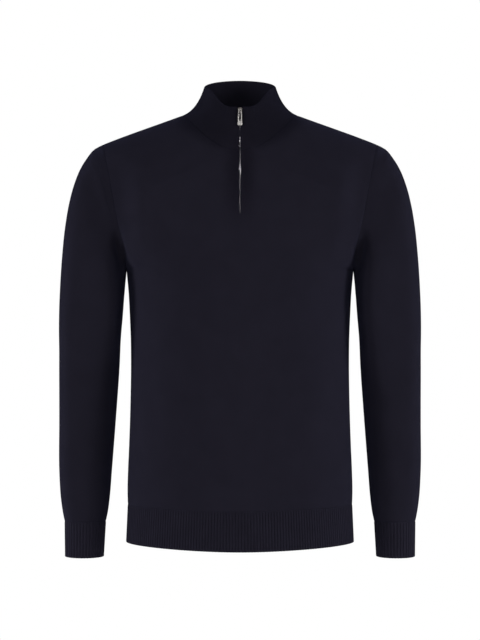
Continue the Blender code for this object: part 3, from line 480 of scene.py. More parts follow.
# ======== the skin, piece by piece
def centre_heights(side):
    """Heights of the rows that start on the centre line above the underarm."""
    neck = CENTRE_ROWS[side][-1][0]
    if side == BACK:
        return spaced(UNDERARM_Z, neck, True, True)
    below = spaced(UNDERARM_Z, SLIT_END_Z, True, False)
    above = spaced(SLIT_END_Z, neck, True, True)
    return np.concatenate([below, above[1:]])


def upper_rows(side):
    """For each upper row: where it starts, the direction in which it leaves, and how many degrees
    round the armhole it ends."""
    at_neck = CENTRE_ROWS[side][-1][1]
    for z in centre_heights(side):
        degrees = max(0.0, float(armhole_degrees[side](z)))
        start = np.array([0, centre_line[side](z), z])
        down = np.array([0, centre_line[side](z - 2), z - 2]) - start
        turned = ROW_DIP * degrees / at_neck
        yield start, unit((1 - turned) * np.array([1, 0, 0]) + turned * unit(down)), degrees
    for share in NECK_SHARES:
        round_neck = 90 * (1 - share)
        turned = ROW_DIP + (1 - ROW_DIP) * share**ROW_POWER
        leave = (1 - turned) * np.array([1, 0, 0]) + turned * away_from_neck(round_neck, side)
        yield neck_seam(round_neck, side), unit(leave), at_neck + (180 - at_neck) * share


def panel_half(side):
    """Rows of points of the right half (+X) of the front or back, from the hem rib to the shoulder."""
    lower = spaced(RIB_SEAM_Z, UNDERARM_Z, True, False)[:-1]
    rows = [body_quarter(z, side, COLUMN_SHARES) for z in lower]
    at_neck = CENTRE_ROWS[side][-1][1]
    handle = fullness(UNDERARM_Z)
    for start, leave, degrees in upper_rows(side):
        end = section_point(SLEEVE[0], degrees, side, ARMHOLE_BOW)
        turn, rise = math.radians(panel_turn(degrees)), math.radians(panel_rise(degrees))
        level = np.array([-math.cos(turn), side * math.sin(turn), 0]) * math.cos(rise)
        arrive = level + [0, 0, math.sin(rise)]
        chord, up = np.linalg.norm(end - start), min(1.0, degrees / at_neck)
        reach_in = (1 - up) * handle * end[0] + up * ROW_HANDLES[0] * chord
        reach_out = (1 - up) * handle * abs(start[1] - end[1]) + up * ROW_HANDLES[1] * chord
        handles = start + leave * reach_in, end + arrive * reach_out
        rows.append(bezier(start, *handles, end, COLUMN_SHARES))
    return np.array(rows)


def slit_half(z):
    """Half of the gap between the two cloth edges at a height."""
    apart, shut = SLIDER_ROOM
    gap = slit_gap(np.minimum(z, SLIT_GAPS[-1][0]))
    wide = gap + (SLIT_HALF_AT_SLIDER - gap) * ease(shut, apart, z)
    return wide * ease(SLIT_END_Z, SLIT_END_Z + SLIT_OPENS, z)


def slit_stray(points):
    """Moves the cloth beside the slit a little to one side, both edges together."""
    far, long, short = SLIT_STRAY
    z = points[:, 2]
    at_front = (points[:, 1] < CHEST_Y) & (z > SLIT_END_Z)
    beside = np.exp(-((points[:, 0] / STRAY_WIDTH) ** 2)) * ease(SLIT_END_Z, SLIT_END_Z + STRAY_WIDTH, z)
    beside *= 1 - ease(SLIDER_ROOM[1] - STRAY_END, SLIDER_ROOM[1], z)
    points[:, 0] += at_front * beside * far * np.sin(z / long) * np.cos(z / short)


def open_slit(rows, thick):
    """Moves the points beside the centre front outwards, to make room for the slit and the round of
    the cloth's edge."""
    for row in rows:
        if row[0][0] < 0.01 and row[0][2] > SLIT_END_Z:
            z = row[0][2]
            edge = slit_half(z) + thick / 2 * ease(SLIT_END_Z, SLIT_END_Z + SLIT_OPENS, z)
            near = row[:, 0] < SLIT_REACH
            row[near, 0] = edge + row[near, 0] * (SLIT_REACH - edge) / SLIT_REACH
    return rows


def open_collar(rows, thick):
    """The same for the collar, whose points run round from the centre front."""
    near = rows[0, :, 0] < SLIT_REACH
    front = near & (np.arange(rows.shape[1]) < rows.shape[1] // 2)
    edge = slit_half(rows[:, :1, 2]) + thick / 2
    rows[:, front, 0] = edge + rows[:, front, 0] * (SLIT_REACH - edge) / SLIT_REACH
    return rows


def ring_point(ring, height, degrees):
    """A point of a collar ring at +X, degrees round from the centre front."""
    a = math.radians(degrees)
    end = ring.front if degrees < 90 else ring.back
    y = ring.side + abs(math.cos(a)) * (end - ring.side)
    return np.array([ring.half_width * math.sin(a), y, float(height(degrees))])


def collar_half():
    """Rows of points of the collar's half at +X, bottom row first, each from front to back."""
    shares = np.concatenate([[0], NECK_SHARES])
    places = [(90 * s, neck_seam(90 - 90 * s, FRONT)) for s in shares]
    places += [(180 - 90 * s, neck_seam(90 - 90 * s, BACK)) for s in shares[-2::-1]]
    reach = 1 - COLLAR_CLOTH / 2 / COLLAR_HEIGHT  # leaves room for the rounded rim
    t = spaced(0, COLLAR_HEIGHT, True, False, COLLAR_STEP)[:, None] / COLLAR_HEIGHT * reach
    columns = []
    for degrees, base in places:
        flare = ring_point(FLARE, flare_height, degrees)
        rim = ring_point(RIM, rim_height, degrees)
        columns.append((1 - t) ** 2 * base + 2 * (1 - t) * t * flare + t**2 * rim)
    return np.array(columns).transpose(1, 0, 2)


def arm_ring(section, bow, angles, flat=1.0):
    """Points round one section of the sleeve: up its front from the inner end, down its back, and the
    first point again."""
    ring = [section_point(section, degrees, FRONT, bow, flat) for degrees in angles[FRONT][:-1]]
    ring += [section_point(section, degrees, BACK, bow, flat) for degrees in angles[BACK][::-1]]
    return np.array(ring)


def sleeve_rings():
    """Rings of points of the sleeve at +X, from the armhole to the cuff seam."""
    lengths = [0.0]
    for a, b in zip(SLEEVE, SLEEVE[1:]):
        lengths.append(lengths[-1] + (math.dist(a[:3], b[:3]) + math.dist(a[3:6], b[3:6])) / 2)
    curves = [smooth(list(zip(lengths, column))) for column in zip(*SLEEVE)]
    angles = {side: [degrees for _, _, degrees in upper_rows(side)] for side in (FRONT, BACK)}
    rings = []
    for s in spaced(0, lengths[-1], True, True):
        bow = ARMHOLE_BOW * max(0.0, 1 - s / BOW_LENGTH)
        section = Section(*(float(curve(s)) for curve in curves))
        rings.append(arm_ring(section, bow, angles, float(sleeve_flat(s))))
    return np.array(rings)


def relaxed(rows):
    """Evens out the bends inside a panel's grid without shrinking it. Its borders stay in place, but the
    centre line moves with its neighbours."""
    on_centre = rows[:, 0, 0] < 0.01
    on_centre[[0, -1]] = False
    free = np.ones(rows.shape[:2], bool)
    free[[0, -1]] = free[:, -1] = False
    free[:, 0] = on_centre & np.roll(on_centre, -1)
    for step in RELAX * RELAX_ROUNDS:
        wide = np.concatenate([mirrored(rows[:, 1:2]), rows], axis=1)
        n = grid_normals(wide)[:, 1:]
        mean = np.array(rows)
        mean[1:-1, :-1] = (wide[:-2, 1:-1] + wide[2:, 1:-1] + wide[1:-1, :-2] + wide[1:-1, 2:]) / 4
        rows = rows + n * (step * free * ((mean - rows) * n).sum(-1))[..., None]
    return rows


def mirrored(points):
    return points * np.array([-1.0, 1.0, 1.0])


# ======== cloth
def up_panel(side):
    """The direction of the wales on a panel: up, and over the shoulder towards the shoulder seam."""

    def at(points):
        low, high, lean = SHOULDER_LEAN
        over = ease(low, high, points[..., 2])
        return np.stack([0 * over, -side * lean * over, np.ones_like(over)], axis=-1)

    return at


def up_collar(points):
    return np.broadcast_to([0.0, 0.0, 1.0], points.shape)


def up_sleeve(points):
    """Along the sleeve: from each ring's middle towards the armhole."""
    middle = points[:, :-1].mean(1)
    return np.broadcast_to(-np.gradient(middle, axis=0)[:, None, :], points.shape)


def grid_normals(rows):
    return unit(np.cross(np.gradient(rows, axis=1), np.gradient(rows, axis=0)))


def stitch_map(rows, up):
    """Where each point lies in the knitting, in metres: across the wales, and along them."""
    n = grid_normals(rows)
    ref = up(rows)
    along = unit(ref - n * (ref * n).sum(-1, keepdims=True))
    across = np.cross(along, n)

    def summed(axis, way):
        points, way = np.moveaxis(rows, axis, 0), np.moveaxis(way, axis, 0)
        parts = (np.diff(points, axis=0) * ((way[:-1] + way[1:]) / 2)).sum(-1)
        total = np.concatenate([np.zeros_like(parts[:1]), np.cumsum(parts, axis=0)])
        return np.moveaxis(total, 0, axis)

    u = summed(1, across) + summed(0, across)[:, :1]
    v = summed(0, along) + summed(1, along)[:1]
    return np.stack([u, v], axis=-1) * MM


def same_places(points):
    """The first point at each place, and the number of every point's place."""
    keys = np.round(points * 1000).astype(np.int64)
    _, first, same = np.unique(keys, axis=0, return_index=True, return_inverse=True)
    return first, same.reshape(-1)


def sides(faces):
    """Both ends of each side of each face."""
    return faces.reshape(-1), np.roll(faces, -1, axis=1).reshape(-1)


def distance_to(targets, points):
    """How far each point is from the nearest target."""
    tree = kdtree.KDTree(len(targets))
    for i, p in enumerate(targets):
        tree.insert(p, i)
    tree.balance()
    return np.array([tree.find(p)[2] for p in points])


class Cloth:
    """Grids of points joined into one sheet. Points in the same place are one point, but each face
    keeps its own place in the knitting."""

    def __init__(self, thick):
        self.thick = thick
        self.points, self.faces = np.zeros((0, 3)), np.zeros((0, 4), int)
        self.maps = np.zeros((0, 4, 2))

    def grid(self, rows, up, flip=False, mirror=False):
        """Adds the quads of a grid. mirror lays it out again at -X, flip turns the faces round."""
        at = stitch_map(rows, up)
        if mirror:
            rows, at = mirrored(rows), at * np.array([-1.0, 1.0])
        n, m = rows.shape[:2]
        number = np.arange(n * m).reshape(n, m)
        corners = [number[:-1, :-1], number[:-1, 1:], number[1:, 1:], number[1:, :-1]]
        if flip:
            corners = corners[::-1]
        quads = np.stack(corners, axis=-1).reshape(-1, 4)
        self.maps = np.concatenate([self.maps, at.reshape(-1, 2)[quads]])
        self.faces = np.concatenate([self.faces, quads + len(self.points)])
        self.points = np.concatenate([self.points, rows.reshape(-1, 3)])
        return self

    def weld(self):
        first, same = same_places(self.points)
        self.points, self.faces = self.points[first], same[self.faces]

    def border(self):
        """The edges that have a face on one side only, as (from, to), in the face's direction."""
        a, b = sides(self.faces)
        size = len(self.points)
        alone = ~np.isin(a * size + b, b * size + a) & (a != b)
        return np.stack([a[alone], b[alone]], axis=1)


def two_halves(thick, rows, up, flip):
    """The cloth that has this grid at +X and again at -X."""
    return Cloth(thick).grid(rows, up, flip=flip).grid(rows, up, flip=not flip, mirror=True)


def joined(cloths):
    """The points of all the cloths, and where each one's own lie among them."""
    ends = np.cumsum([0] + [len(c.points) for c in cloths])
    return np.concatenate([c.points for c in cloths]), [slice(a, b) for a, b in zip(ends, ends[1:])]


def shared_normals(groups):
    """Each cloth's normals, which at a seam halve the angle between the groups that meet there."""
    cloths = sum(groups, [])
    points, own = joined(cloths)
    _, same = same_places(points)
    places = {id(cloth): same[part] for cloth, part in zip(cloths, own)}
    halving = np.zeros((same.max() + 1, 3))
    for group in groups:
        total = np.zeros_like(halving)
        for cloth in group:
            a, b, c, d = (cloth.points[cloth.faces[:, k]] for k in range(4))
            normals = np.cross(c - a, d - b)
            for k in range(4):
                np.add.at(total, places[id(cloth)][cloth.faces[:, k]], normals)
        halving += unit(total)
    return [unit(halving[places[id(cloth)]]) for cloth in cloths]


def hold(p):
    """How free the cloth is to fold at each point: 0 is held, 1 is free."""
    from_underarm = np.linalg.norm(np.abs(p) * [1, 0, 0] + p * [0, 1, 1] - UNDERARM, axis=1)
    free = 1 - np.exp(-((from_underarm / UNDERARM_CALM) ** 2))
    on_sleeve = (np.abs(p[:, 0]) > ONLY_SLEEVE[0]) & (p[:, 2] < ONLY_SLEEVE[1])
    free *= np.where(on_sleeve, 1, ease(0, RIB_CALM, p[:, 2] - RIB_SEAM_Z))
    free *= np.where(on_sleeve, ease(0, RIB_CALM, p[:, 2] - CUFF_SEAM_Z), 1)
    beside_zip = (p[:, 1] < CHEST_Y) & (p[:, 2] > SLIT_END_Z - BELOW_SLIT)
    return free * np.where(beside_zip, ease(*ZIP_CALM, np.abs(p[:, 0])), 1)


def fold_height(p):
    """How far the folds lift (or sink) each point."""
    lift = np.zeros(len(p))
    for x0, y0, z0, x1, y1, z1, width, height, turns in FOLDS:
        for turn in turns:
            a, b = np.array([turn * x0, y0, z0]), np.array([turn * x1, y1, z1])
            along = np.clip((p - a) @ (b - a) / np.dot(b - a, b - a), 0, 1)
            away = np.linalg.norm(p - (a + along[:, None] * (b - a)), axis=1) / width
            fade = np.sin(np.pi * np.clip(along, *FOLD_ENDS)) ** FOLD_POWER
            lift += height * fade * np.exp(-(away**2))
    return lift * hold(p)


def fold_skin(groups):
    for cloth, normals in zip(sum(groups, []), shared_normals(groups)):
        cloth.points = cloth.points + normals * fold_height(cloth.points)[:, None]
        slit_stray(cloth.points)


def blend_armholes(body, sleeves, rest):
    """Evens out how far forward (or back) the cloth lies on both sides of the armhole seams, so that
    the panels and the sleeves run into each other there."""
    cloths = [*body, *sleeves, *rest]
    stacked, own = joined(cloths)
    first, same = same_places(stacked)
    points, count = stacked[first], len(first)
    of_body, of_sleeves = (np.concatenate([same[part] for part in own[k : k + 2]]) for k in (0, 2))
    seam = points[np.intersect1d(of_body, of_sleeves)]
    share = 1 - ease(*BLEND_WIDTH, distance_to(seam, points))
    share *= ease(*BLEND_LOW, points[:, 2]) * (1 - ease(*BLEND_HIGH, points[:, 2]))

    a, b = sides(np.concatenate([same[part][cloth.faces] for cloth, part in zip(cloths, own)]))
    a, b = a[a != b], b[a != b]
    pull = 1 / np.linalg.norm(points[a] - points[b], axis=1)
    whole = np.bincount(a, pull, count) + np.bincount(b, pull, count)
    depth = points[:, 1]
    for _ in range(BLEND_ROUNDS):
        total = np.bincount(a, pull * depth[b], count) + np.bincount(b, pull * depth[a], count)
        depth = depth + (share > 0) * (total / whole - depth)
    points[:, 1] += share * (depth - points[:, 1])
    for cloth, part in zip(cloths, own):
        cloth.points = points[same[part]]


def is_free_edge(middle):
    """Whether an edge belongs to the slit or the collar's rim, and not to a seam."""
    x, y, z = np.abs(middle[:, 0]), middle[:, 1], middle[:, 2]
    aside, below = FREE_EDGE
    on_slit = (y < CHEST_Y) & (x < aside) & (z > SLIT_END_Z)
    degrees = np.degrees(np.arctan2(x, RIM.side - y))
    on_rim = (z > rim_height(degrees) - below) & (x < RIM.half_width + aside)
    return on_slit | on_rim


def dip_at_seams(cloth, normals, seams):
    """Sinks the cloth along its seams, where it is linked to its neighbour."""
    shares = np.linspace(0, 1, SEAM_SAMPLES)[:, None, None]
    a, b = cloth.points[seams[:, 0]], cloth.points[seams[:, 1]]
    away = distance_to((a + (b - a) * shares).reshape(-1, 3), cloth.points)
    return cloth.points - normals * (SEAM_DIP * np.exp(-((away / SEAM_WIDTH) ** 2)))[:, None]


def edge_round():
    """For each line of points between the outside and the inside of an edge: how deep it lies, and how
    far out where the edge is free, as shares of the thickness."""
    for a in np.linspace(0, math.pi, EDGE_STEPS + 1)[1:-1]:
        yield 0.5 - 0.5 * math.cos(a), 0.5 * math.sin(a)


def wall(cloth, normals, level_at):
    """Points, faces and maps of a closed wall. At the height level_at, where a rib joins, its normals
    lie level. Its free edges are round."""
    level = np.abs(cloth.points[:, 2] - level_at) < 1
    normals = unit(np.where(level[:, None], normals * [1, 1, 0], normals))
    border = cloth.border()
    free = is_free_edge(cloth.points[border].mean(1))
    points = dip_at_seams(cloth, normals, border[~free])
    a, b = border.T
    away = np.zeros_like(points)
    for end in (a, b):
        np.add.at(away, end, unit(np.cross(points[b] - points[a], normals[end])))
    away = unit(away)
    outside = points - away * SEAM_DRAW
    count = len(points)
    rim = np.unique(border)
    bulges = np.zeros(count)
    bulges[border[free]] = cloth.thick
    places, layers = [outside, outside - normals * cloth.thick], [np.arange(count)]
    for deep, out in edge_round():
        layer = np.full(count, -1)
        layer[rim] = np.arange(len(rim)) + sum(len(p) for p in places)
        layers.append(layer)
        at = outside[rim] - normals[rim] * cloth.thick * deep
        places.append(at + away[rim] * (out * bulges[rim])[:, None])
    layers.append(np.arange(count) + count)
    corner = np.zeros((count, 2))
    corner[cloth.faces.reshape(-1)] = cloth.maps.reshape(-1, 2)
    faces, maps = [cloth.faces, cloth.faces[:, ::-1] + count], [cloth.maps, cloth.maps[:, ::-1]]
    for upper, lower in zip(layers, layers[1:]):
        faces.append(np.stack([upper[b], upper[a], lower[a], lower[b]], axis=1))
        maps.append(corner[np.stack([b, a, a, b], axis=1)])
    return np.concatenate(places), np.concatenate(faces), np.concatenate(maps)


def make_mesh(name, points, faces, maps=None, crease=50):
    """A mesh object from points in millimetres, with its place in the knitting as a UV map."""
    mesh = bpy.data.meshes.new(name)
    mesh.from_pydata((np.asarray(points) * MM).tolist(), [], [list(map(int, f)) for f in faces])
    if maps is not None:
        layer = mesh.uv_layers.new(name="knit")
        layer.uv.foreach_set("vector", np.concatenate([np.reshape(m, (-1, 2)) for m in maps]).ravel())
    mesh.update()
    mesh.shade_smooth()
    mesh.set_sharp_from_angle(angle=math.radians(crease))
    obj = bpy.data.objects.new(name, mesh)
    bpy.context.scene.collection.objects.link(obj)
    return obj


# ======== ribs
def even_line(line, steps):
    """The same line of points with an even spacing."""
    lengths = np.concatenate([[0], np.cumsum(np.linalg.norm(np.diff(line, axis=0), axis=1))])
    wanted = np.linspace(0, lengths[-1], steps + 1)
    return np.stack([np.interp(wanted, lengths, line[:, k]) for k in range(3)], axis=1)


def level_normals(line, closed):
    """Normals of a level line of points that runs with its outside on the right."""
    if closed:
        steps = np.roll(line, -1, axis=0) - np.roll(line, 1, axis=0)
    else:
        steps = np.gradient(line, axis=0)
    return unit(np.stack([steps[:, 1], -steps[:, 0], np.zeros(len(line))], axis=1))


def rib_height(place):
    """1 on a rib, 0 in the groove, for a place counted in ribs."""
    return ease(*RIB_SLOPE, np.cos(2 * np.pi * place))


def rib_path(high):
    """The rows down the outside of a band, round its lower edge and up its inside: how far down each
    lies, how much of a rib's height it has, and its share of the way from the outside to the inside."""
    down = [*RIB_TOP_ROWS, *np.linspace(RIB_EVEN_FROM, high - RIB_EDGE, RIB_ROWS)]
    ridge = [RIB_START + (1 - RIB_START) * ease(0, RIB_FADE, d) for d in down]
    turns = np.linspace(0, np.pi, RIB_EDGE_STEPS + 1)[1:-1]
    path = [(*row, 0.0) for row in zip(down, ridge)]
    path += [(high - RIB_EDGE + RIB_EDGE * math.sin(a), 1.0, 0.5 - 0.5 * math.cos(a)) for a in turns]
    return path + [(*row, 1.0) for row in zip(down[::-1], ridge[::-1])]


def rib_quads(grid):
    """The four corners of each face of a band, whose last row joins its first."""
    below = np.roll(grid, -1, axis=0)
    return np.stack([below[:, :-1], below[:, 1:], grid[:, 1:], grid[:, :-1]], axis=2)


def rib_band(name, top, foot, z_top, z_foot, closed):
    """A rib band from one line of points to another. RIB_POINTS points lie across each rib."""
    normals = level_normals(top, closed)
    count, high = len(top), z_top - z_foot
    place = np.arange(count) / RIB_POINTS
    across = RIB_WALES * WALE * MM
    rows, at = [], []
    for down, ridge, inwards in rib_path(high):
        share = down / high
        p, q, r, s = RIB_WAVES
        wobble = RIB_WOBBLE * np.sin(place * p + share * q) * np.sin(share * r + place * s)
        up = rib_height(place + wobble) * ridge
        outer = (1 - up) * (RIB_RIDGE - RIB_GROOVE)
        inner = RIB_BACK[0] - RIB_BACK[1] * up
        depth = outer + (inner - outer) * inwards
        line = top + (foot - top) * share
        line[:, 2] = z_top - down
        rows.append(line - normals * depth[:, None])
        at.append(np.column_stack([place * across, np.full(count, -down * MM)]))

    rows, at = np.array(rows), np.array(at)
    number = np.arange(len(rows) * count).reshape(len(rows), count)
    if closed:
        number = np.concatenate([number, number[:, :1]], axis=1)
        at = np.concatenate([at, at[:, :1] + [count / RIB_POINTS * across, 0]], axis=1)
    faces, maps = list(rib_quads(number).reshape(-1, 4)), list(rib_quads(at).reshape(-1, 4, 2))
    if not closed:
        faces += [number[:, 0], number[::-1, -1]]
        maps += [at[:, 0], at[::-1, -1]]
    return make_mesh(name, rows.reshape(-1, 3), faces, maps, crease=75)


def hem_line(z, side):
    """The body's half section, drawn back at both side seams, with its outside on the right."""
    quarter = body_quarter(z, side, np.linspace(0, 1, 161))
    whole = np.concatenate([quarter[::-1], mirrored(quarter)[1:]])
    whole[[0, -1], 1] += side * SEAM_DRAW
    if side == FRONT:
        whole = whole[::-1]
    return even_line(whole, HEM_RIBS * RIB_POINTS)


def cuff_line(section):
    """A level ring round the cuff at +X, with its outside on the right."""
    middle = np.array([(section.inner_x + section.outer_x) / 2, section.inner_y, 0])
    half = (section.outer_x - section.inner_x) / 2
    a = np.linspace(0, 2 * math.pi, 321)
    ring = middle + np.stack([half * np.cos(a), section.front * np.sin(a), 0 * a], axis=1)
    return even_line(ring, CUFF_RIBS * RIB_POINTS)[:-1]


def make_ribs():
    """Both halves of the hem rib, and both cuffs."""
    bands = []
    for name, side in (("rib_hem_front", FRONT), ("rib_hem_back", BACK)):
        top, foot = hem_line(RIB_SEAM_Z, side), hem_line(HEM_Z, side)
        bands.append(rib_band(name, top, foot, RIB_SEAM_Z - SEAM_DRAW, HEM_Z, closed=False))
    left = [cuff_line(SLEEVE[-1]), cuff_line(CUFF_END)]
    right = [mirrored(line)[::-1] for line in left]
    for name, lines in (("rib_cuff_left", left), ("rib_cuff_right", right)):
        bands.append(rib_band(name, *lines, CUFF_SEAM_Z - SEAM_DRAW, CUFF_Z, closed=True))
    return bands


# ======== zip teeth
def tooth_shape():
    """Points and faces of one tooth: a bar with softened edges, a little wider where it interlocks."""
    rings = []
    for k, (x, share) in enumerate(TOOTH_PROFILE):
        h, d, e = TOOTH_HIGH / 2 * share, TOOTH_THICK / 2, TOOTH_EDGE
        if k == 0:
            d -= e
        outline = [(-d + e, -h), (d - e, -h), (d, -h + e), (d, h - e)]
        outline += [(-a, -b) for a, b in outline]
        rings.append([(x, a, b) for a, b in outline])
    points = np.array(sum(rings, []))
    faces = [list(range(8)), list(range(31, 23, -1))]
    for k in range(3):
        for i in range(8):
            j = (i + 1) % 8
            faces.append([8 * k + j, 8 * k + i, 8 * k + 8 + i, 8 * k + 8 + j])
    return points, faces


def make_teeth(line):
    """Two rows of teeth that interlock down the centre front. line gives y for each height."""
    shape, shape_faces = tooth_shape()
    points, faces = [], []
    for k, z in enumerate(np.arange(FIRST_TOOTH_Z, CHAIN_END_Z, -TOOTH_PITCH)):
        turn = 1 if k % 2 else -1
        rise = unit([0, line(z + CHAIN_SLOPE) - line(z - CHAIN_SLOPE), 2 * CHAIN_SLOPE])
        outwards = np.cross([1, 0, 0], rise)
        middle = np.array([0, line(z), z]) - outwards * (ZIP_DEPTH + TOOTH_THICK / 2)
        placed = middle + shape[:, :1] * [turn, 0, 0] + shape[:, 1:2] * outwards + shape[:, 2:] * rise
        start = len(points) * len(shape)
        points.append(placed)
        faces += [[v + start for v in (f if turn < 0 else f[::-1])] for f in shape_faces]
    return make_mesh("zip_teeth", np.concatenate(points), faces, crease=35)


# ======== finishes
class Graph:
    """Adds nodes to a new material and joins them."""

    def __init__(self, name):
        self.material = bpy.data.materials.new(name)
        self.material.use_nodes = True
        self.tree = self.material.node_tree
        self.shader = self.tree.nodes["Principled BSDF"]

    def put(self, socket, value):
        if isinstance(value, bpy.types.NodeSocket):
            self.tree.links.new(value, socket)
        else:
            socket.default_value = value

    def add(self, kind, inputs=(), **values):
        """Adds a node with these inputs, and returns its outputs."""
        node = self.tree.nodes.new(kind)
        for name, value in values.items():
            setattr(node, name, value)
        for name, value in dict(inputs).items():
            self.put(node.inputs[name], value)
        return node.outputs

    def math(self, operation, *values):
        return self.add("ShaderNodeMath", enumerate(values), operation=operation)[0]

    def product(self, *values):
        return self.math("MULTIPLY", *values)

    def place(self):
        """Where the surface is in its piece's own frame, in metres."""
        return self.add("ShaderNodeTexCoord")["Object"]

    def parts(self, vector):
        return self.add("ShaderNodeSeparateXYZ", {0: vector})

    def noise(self, scale, detail, roughness):
        inputs = {"Vector": self.place(), "Scale": scale, "Detail": detail, "Roughness": roughness}
        return self.add("ShaderNodeTexNoise", inputs)["Fac"]

    def ranged(self, value, low, high, start=0.0, end=1.0, interpolation_type="LINEAR"):
        inputs = {"Value": value, "From Min": start, "From Max": end, "To Min": low, "To Max": high}
        return self.add("ShaderNodeMapRange", inputs, interpolation_type=interpolation_type)["Result"]

    def uneven(self, noise, low, high):
        """A value that a noise moves between two others."""
        return self.ranged(self.noise(*noise), low, high)

    def eased(self, value, start, end, low, high):
        return self.ranged(value, low, high, start, end, "SMOOTHSTEP")

    def mixed(self, share, a, b):
        inputs = {"Factor": share, 6: (*a, 1), 7: (*b, 1)}
        return self.add("ShaderNodeMix", inputs, data_type="RGBA")[2]

    def bump(self, height, distance, strength, under=None):
        """The normal of a bumpy surface, on top of the bumps of under."""
        inputs = {"Height": height, "Distance": distance, "Strength": strength}
        if under is not None:
            inputs["Normal"] = under
        return self.add("ShaderNodeBump", inputs)["Normal"]

    def set(self, **values):
        for name, value in values.items():
            self.put(self.shader.inputs[name.replace("_", " ")], value)


def stitches(g):
    """Height of the knit stitches: columns of small Vs. 0 lies between the yarns, 1 on top of them."""
    u, v, _ = g.parts(g.add("ShaderNodeUVMap", uv_map="knit")[0])
    u, v = g.math("DIVIDE", u, WALE * MM), g.math("DIVIDE", v, COURSE * MM)
    aside = g.math("ABSOLUTE", g.math("SUBTRACT", g.math("FRACT", u), 0.5))
    off_leg = g.math("SUBTRACT", g.product(aside, 4.0), 1.0)
    leg = g.math("SUBTRACT", 1.0, g.product(off_leg, off_leg))
    slant = g.math("ADD", v, g.product(aside, STITCH_SLANT))
    wave = g.math("COSINE", g.product(slant, 2 * math.pi))
    return g.product(leg, g.math("ADD", g.product(wave, STITCH_WAVE), 1 - STITCH_WAVE))


def darker_knit_and_painted_shade(g):
    """How much the knit is darkened: 1 on the collar, partly for its denser knit and partly as painted
    shade, 1 beside the zip's top as painted shade, and 0 over most of it.
    """
    place = g.place()
    x, y, z = g.parts(place)
    # painted shade beside the zip's top
    painted_shade_by_zip = g.product(g.eased(g.math("ABSOLUTE", x), *ZIP_PAINTED_SHADE_ASIDE), g.eased(z, *ZIP_PAINTED_SHADE_HEIGHT))
    painted_shade_by_zip = g.product(g.math("LESS_THAN", y, ZIP_PAINTED_SHADE_Y), painted_shade_by_zip)
    middle = {0: place, 1: NECK_KNIT_AND_SHADE_MIDDLE}
    from_neck = g.add("ShaderNodeVectorMath", middle, operation="DISTANCE")["Value"]
    # the collar: darker partly for its denser knit and partly as painted shade
    at_neck = g.product(g.eased(from_neck, *NECK_KNIT_AND_SHADE_AWAY), g.eased(y, *NECK_KNIT_AND_SHADE_DEPTH))
    return g.math("MAXIMUM", painted_shade_by_zip, at_neck)


def knit(name, yarn, gap, depth, sheen):
    """Fine merino knit: stitches with painted shade in the gaps between the yarns, painted shade beside
    the zip and on the collar, which is partly its denser knit, an uneven yarn, loose fibres and a wool
    sheen.
    """
    g = Graph(name)
    height = stitches(g)
    # the stitch height darkens the colour between the yarns: painted shade
    light = g.math("ADD", height, g.math("ADD", g.uneven(*PATCHES), g.uneven(*FIBRES)))
    # the painted shade beside the zip and on the collar darkens the knit here
    tone = g.math("SUBTRACT", light, g.product(darker_knit_and_painted_shade(g), DARKER_KNIT_AND_SHADE))
    g.set(Base_Color=g.mixed(tone, gap, yarn), Roughness=g.uneven(*WOOL_ROUGHNESS))
    normal = None
    for noise, distance, strength in (FUZZ, UNEVEN):
        normal = g.bump(g.noise(*noise), distance, strength, normal)
    g.set(Normal=g.bump(height, depth * MM, STITCH_STRENGTH, normal), Specular_IOR_Level=0.0)
    g.set(Sheen_Weight=sheen, Sheen_Roughness=SHEEN_ROUGHNESS, Sheen_Tint=SHEEN_TINT)
    return g.material


def tape():
    """Woven polyester tape: a fine twill with a dull shine."""
    g = Graph("woven_tape")
    x, _, z = g.parts(g.place())
    slope = g.math("ADD", g.product(x, TWILL[0]), g.product(z, TWILL[1]))
    twill = g.ranged(g.math("SINE", slope), 0.0, 1.0)
    g.set(Base_Color=g.mixed(twill, *TAPE_COLOURS), Roughness=g.uneven(*TAPE_ROUGHNESS))
    g.set(Normal=g.bump(twill, *TWILL_BUMP))
    return g.material


def nickel(name):
    """Nickel plate with faint rubbing marks, duller in patches."""
    low, high, dull, bright = NICKELS[name]
    g = Graph(name)
    g.set(Base_Color=g.mixed(g.noise(*WORN), dull, bright), Metallic=1.0)
    g.set(Roughness=g.uneven(PLATE_GRAIN, low, high))
    noise, distance, strength = RUBBED
    g.set(Normal=g.bump(g.noise(*noise), distance, strength))
    return g.material


# ======== putting it together
def dress(obj, material, nodes, slot, body="sweater"):
    obj.data.materials.append(material)
    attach(obj, body)
    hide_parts(*nodes)


def make_cloths():
    """The knit pieces, and a function that says how far forward the centre front is at a height."""
    front, back = open_slit(relaxed(panel_half(FRONT)), KNIT), relaxed(panel_half(BACK))
    collar, rings = open_collar(collar_half(), COLLAR_CLOTH), sleeve_rings()
    pieces = {
        "front": two_halves(KNIT, front, up_panel(FRONT), False),
        "back": two_halves(KNIT, back, up_panel(BACK), True),
        "sleeve_left": Cloth(KNIT).grid(rings, up_sleeve, flip=True),
        "sleeve_right": Cloth(KNIT).grid(rings, up_sleeve, mirror=True),
        "collar": two_halves(COLLAR_CLOTH, collar, up_collar, False),
    }
    for cloth in pieces.values():
        cloth.weld()
    cloths = list(pieces.values())
    blend_armholes(cloths[:2], cloths[2:4], cloths[4:])
    groups = [cloths[:2], *([cloth] for cloth in cloths[2:])]
    fold_skin(groups)
    made = []
    for (name, cloth), normals in zip(pieces.items(), shared_normals(groups)):
        level_at = CUFF_SEAM_Z if "sleeve" in name else RIB_SEAM_Z
        made.append(make_mesh(f"knit_{name}", *wall(cloth, normals, level_at)))
    centre = np.concatenate([front[:, 0], collar[1:, 0]])
    order = np.argsort(centre[:, 2])
    return made, lambda z: float(np.interp(z, centre[order, 2], centre[order, 1]))


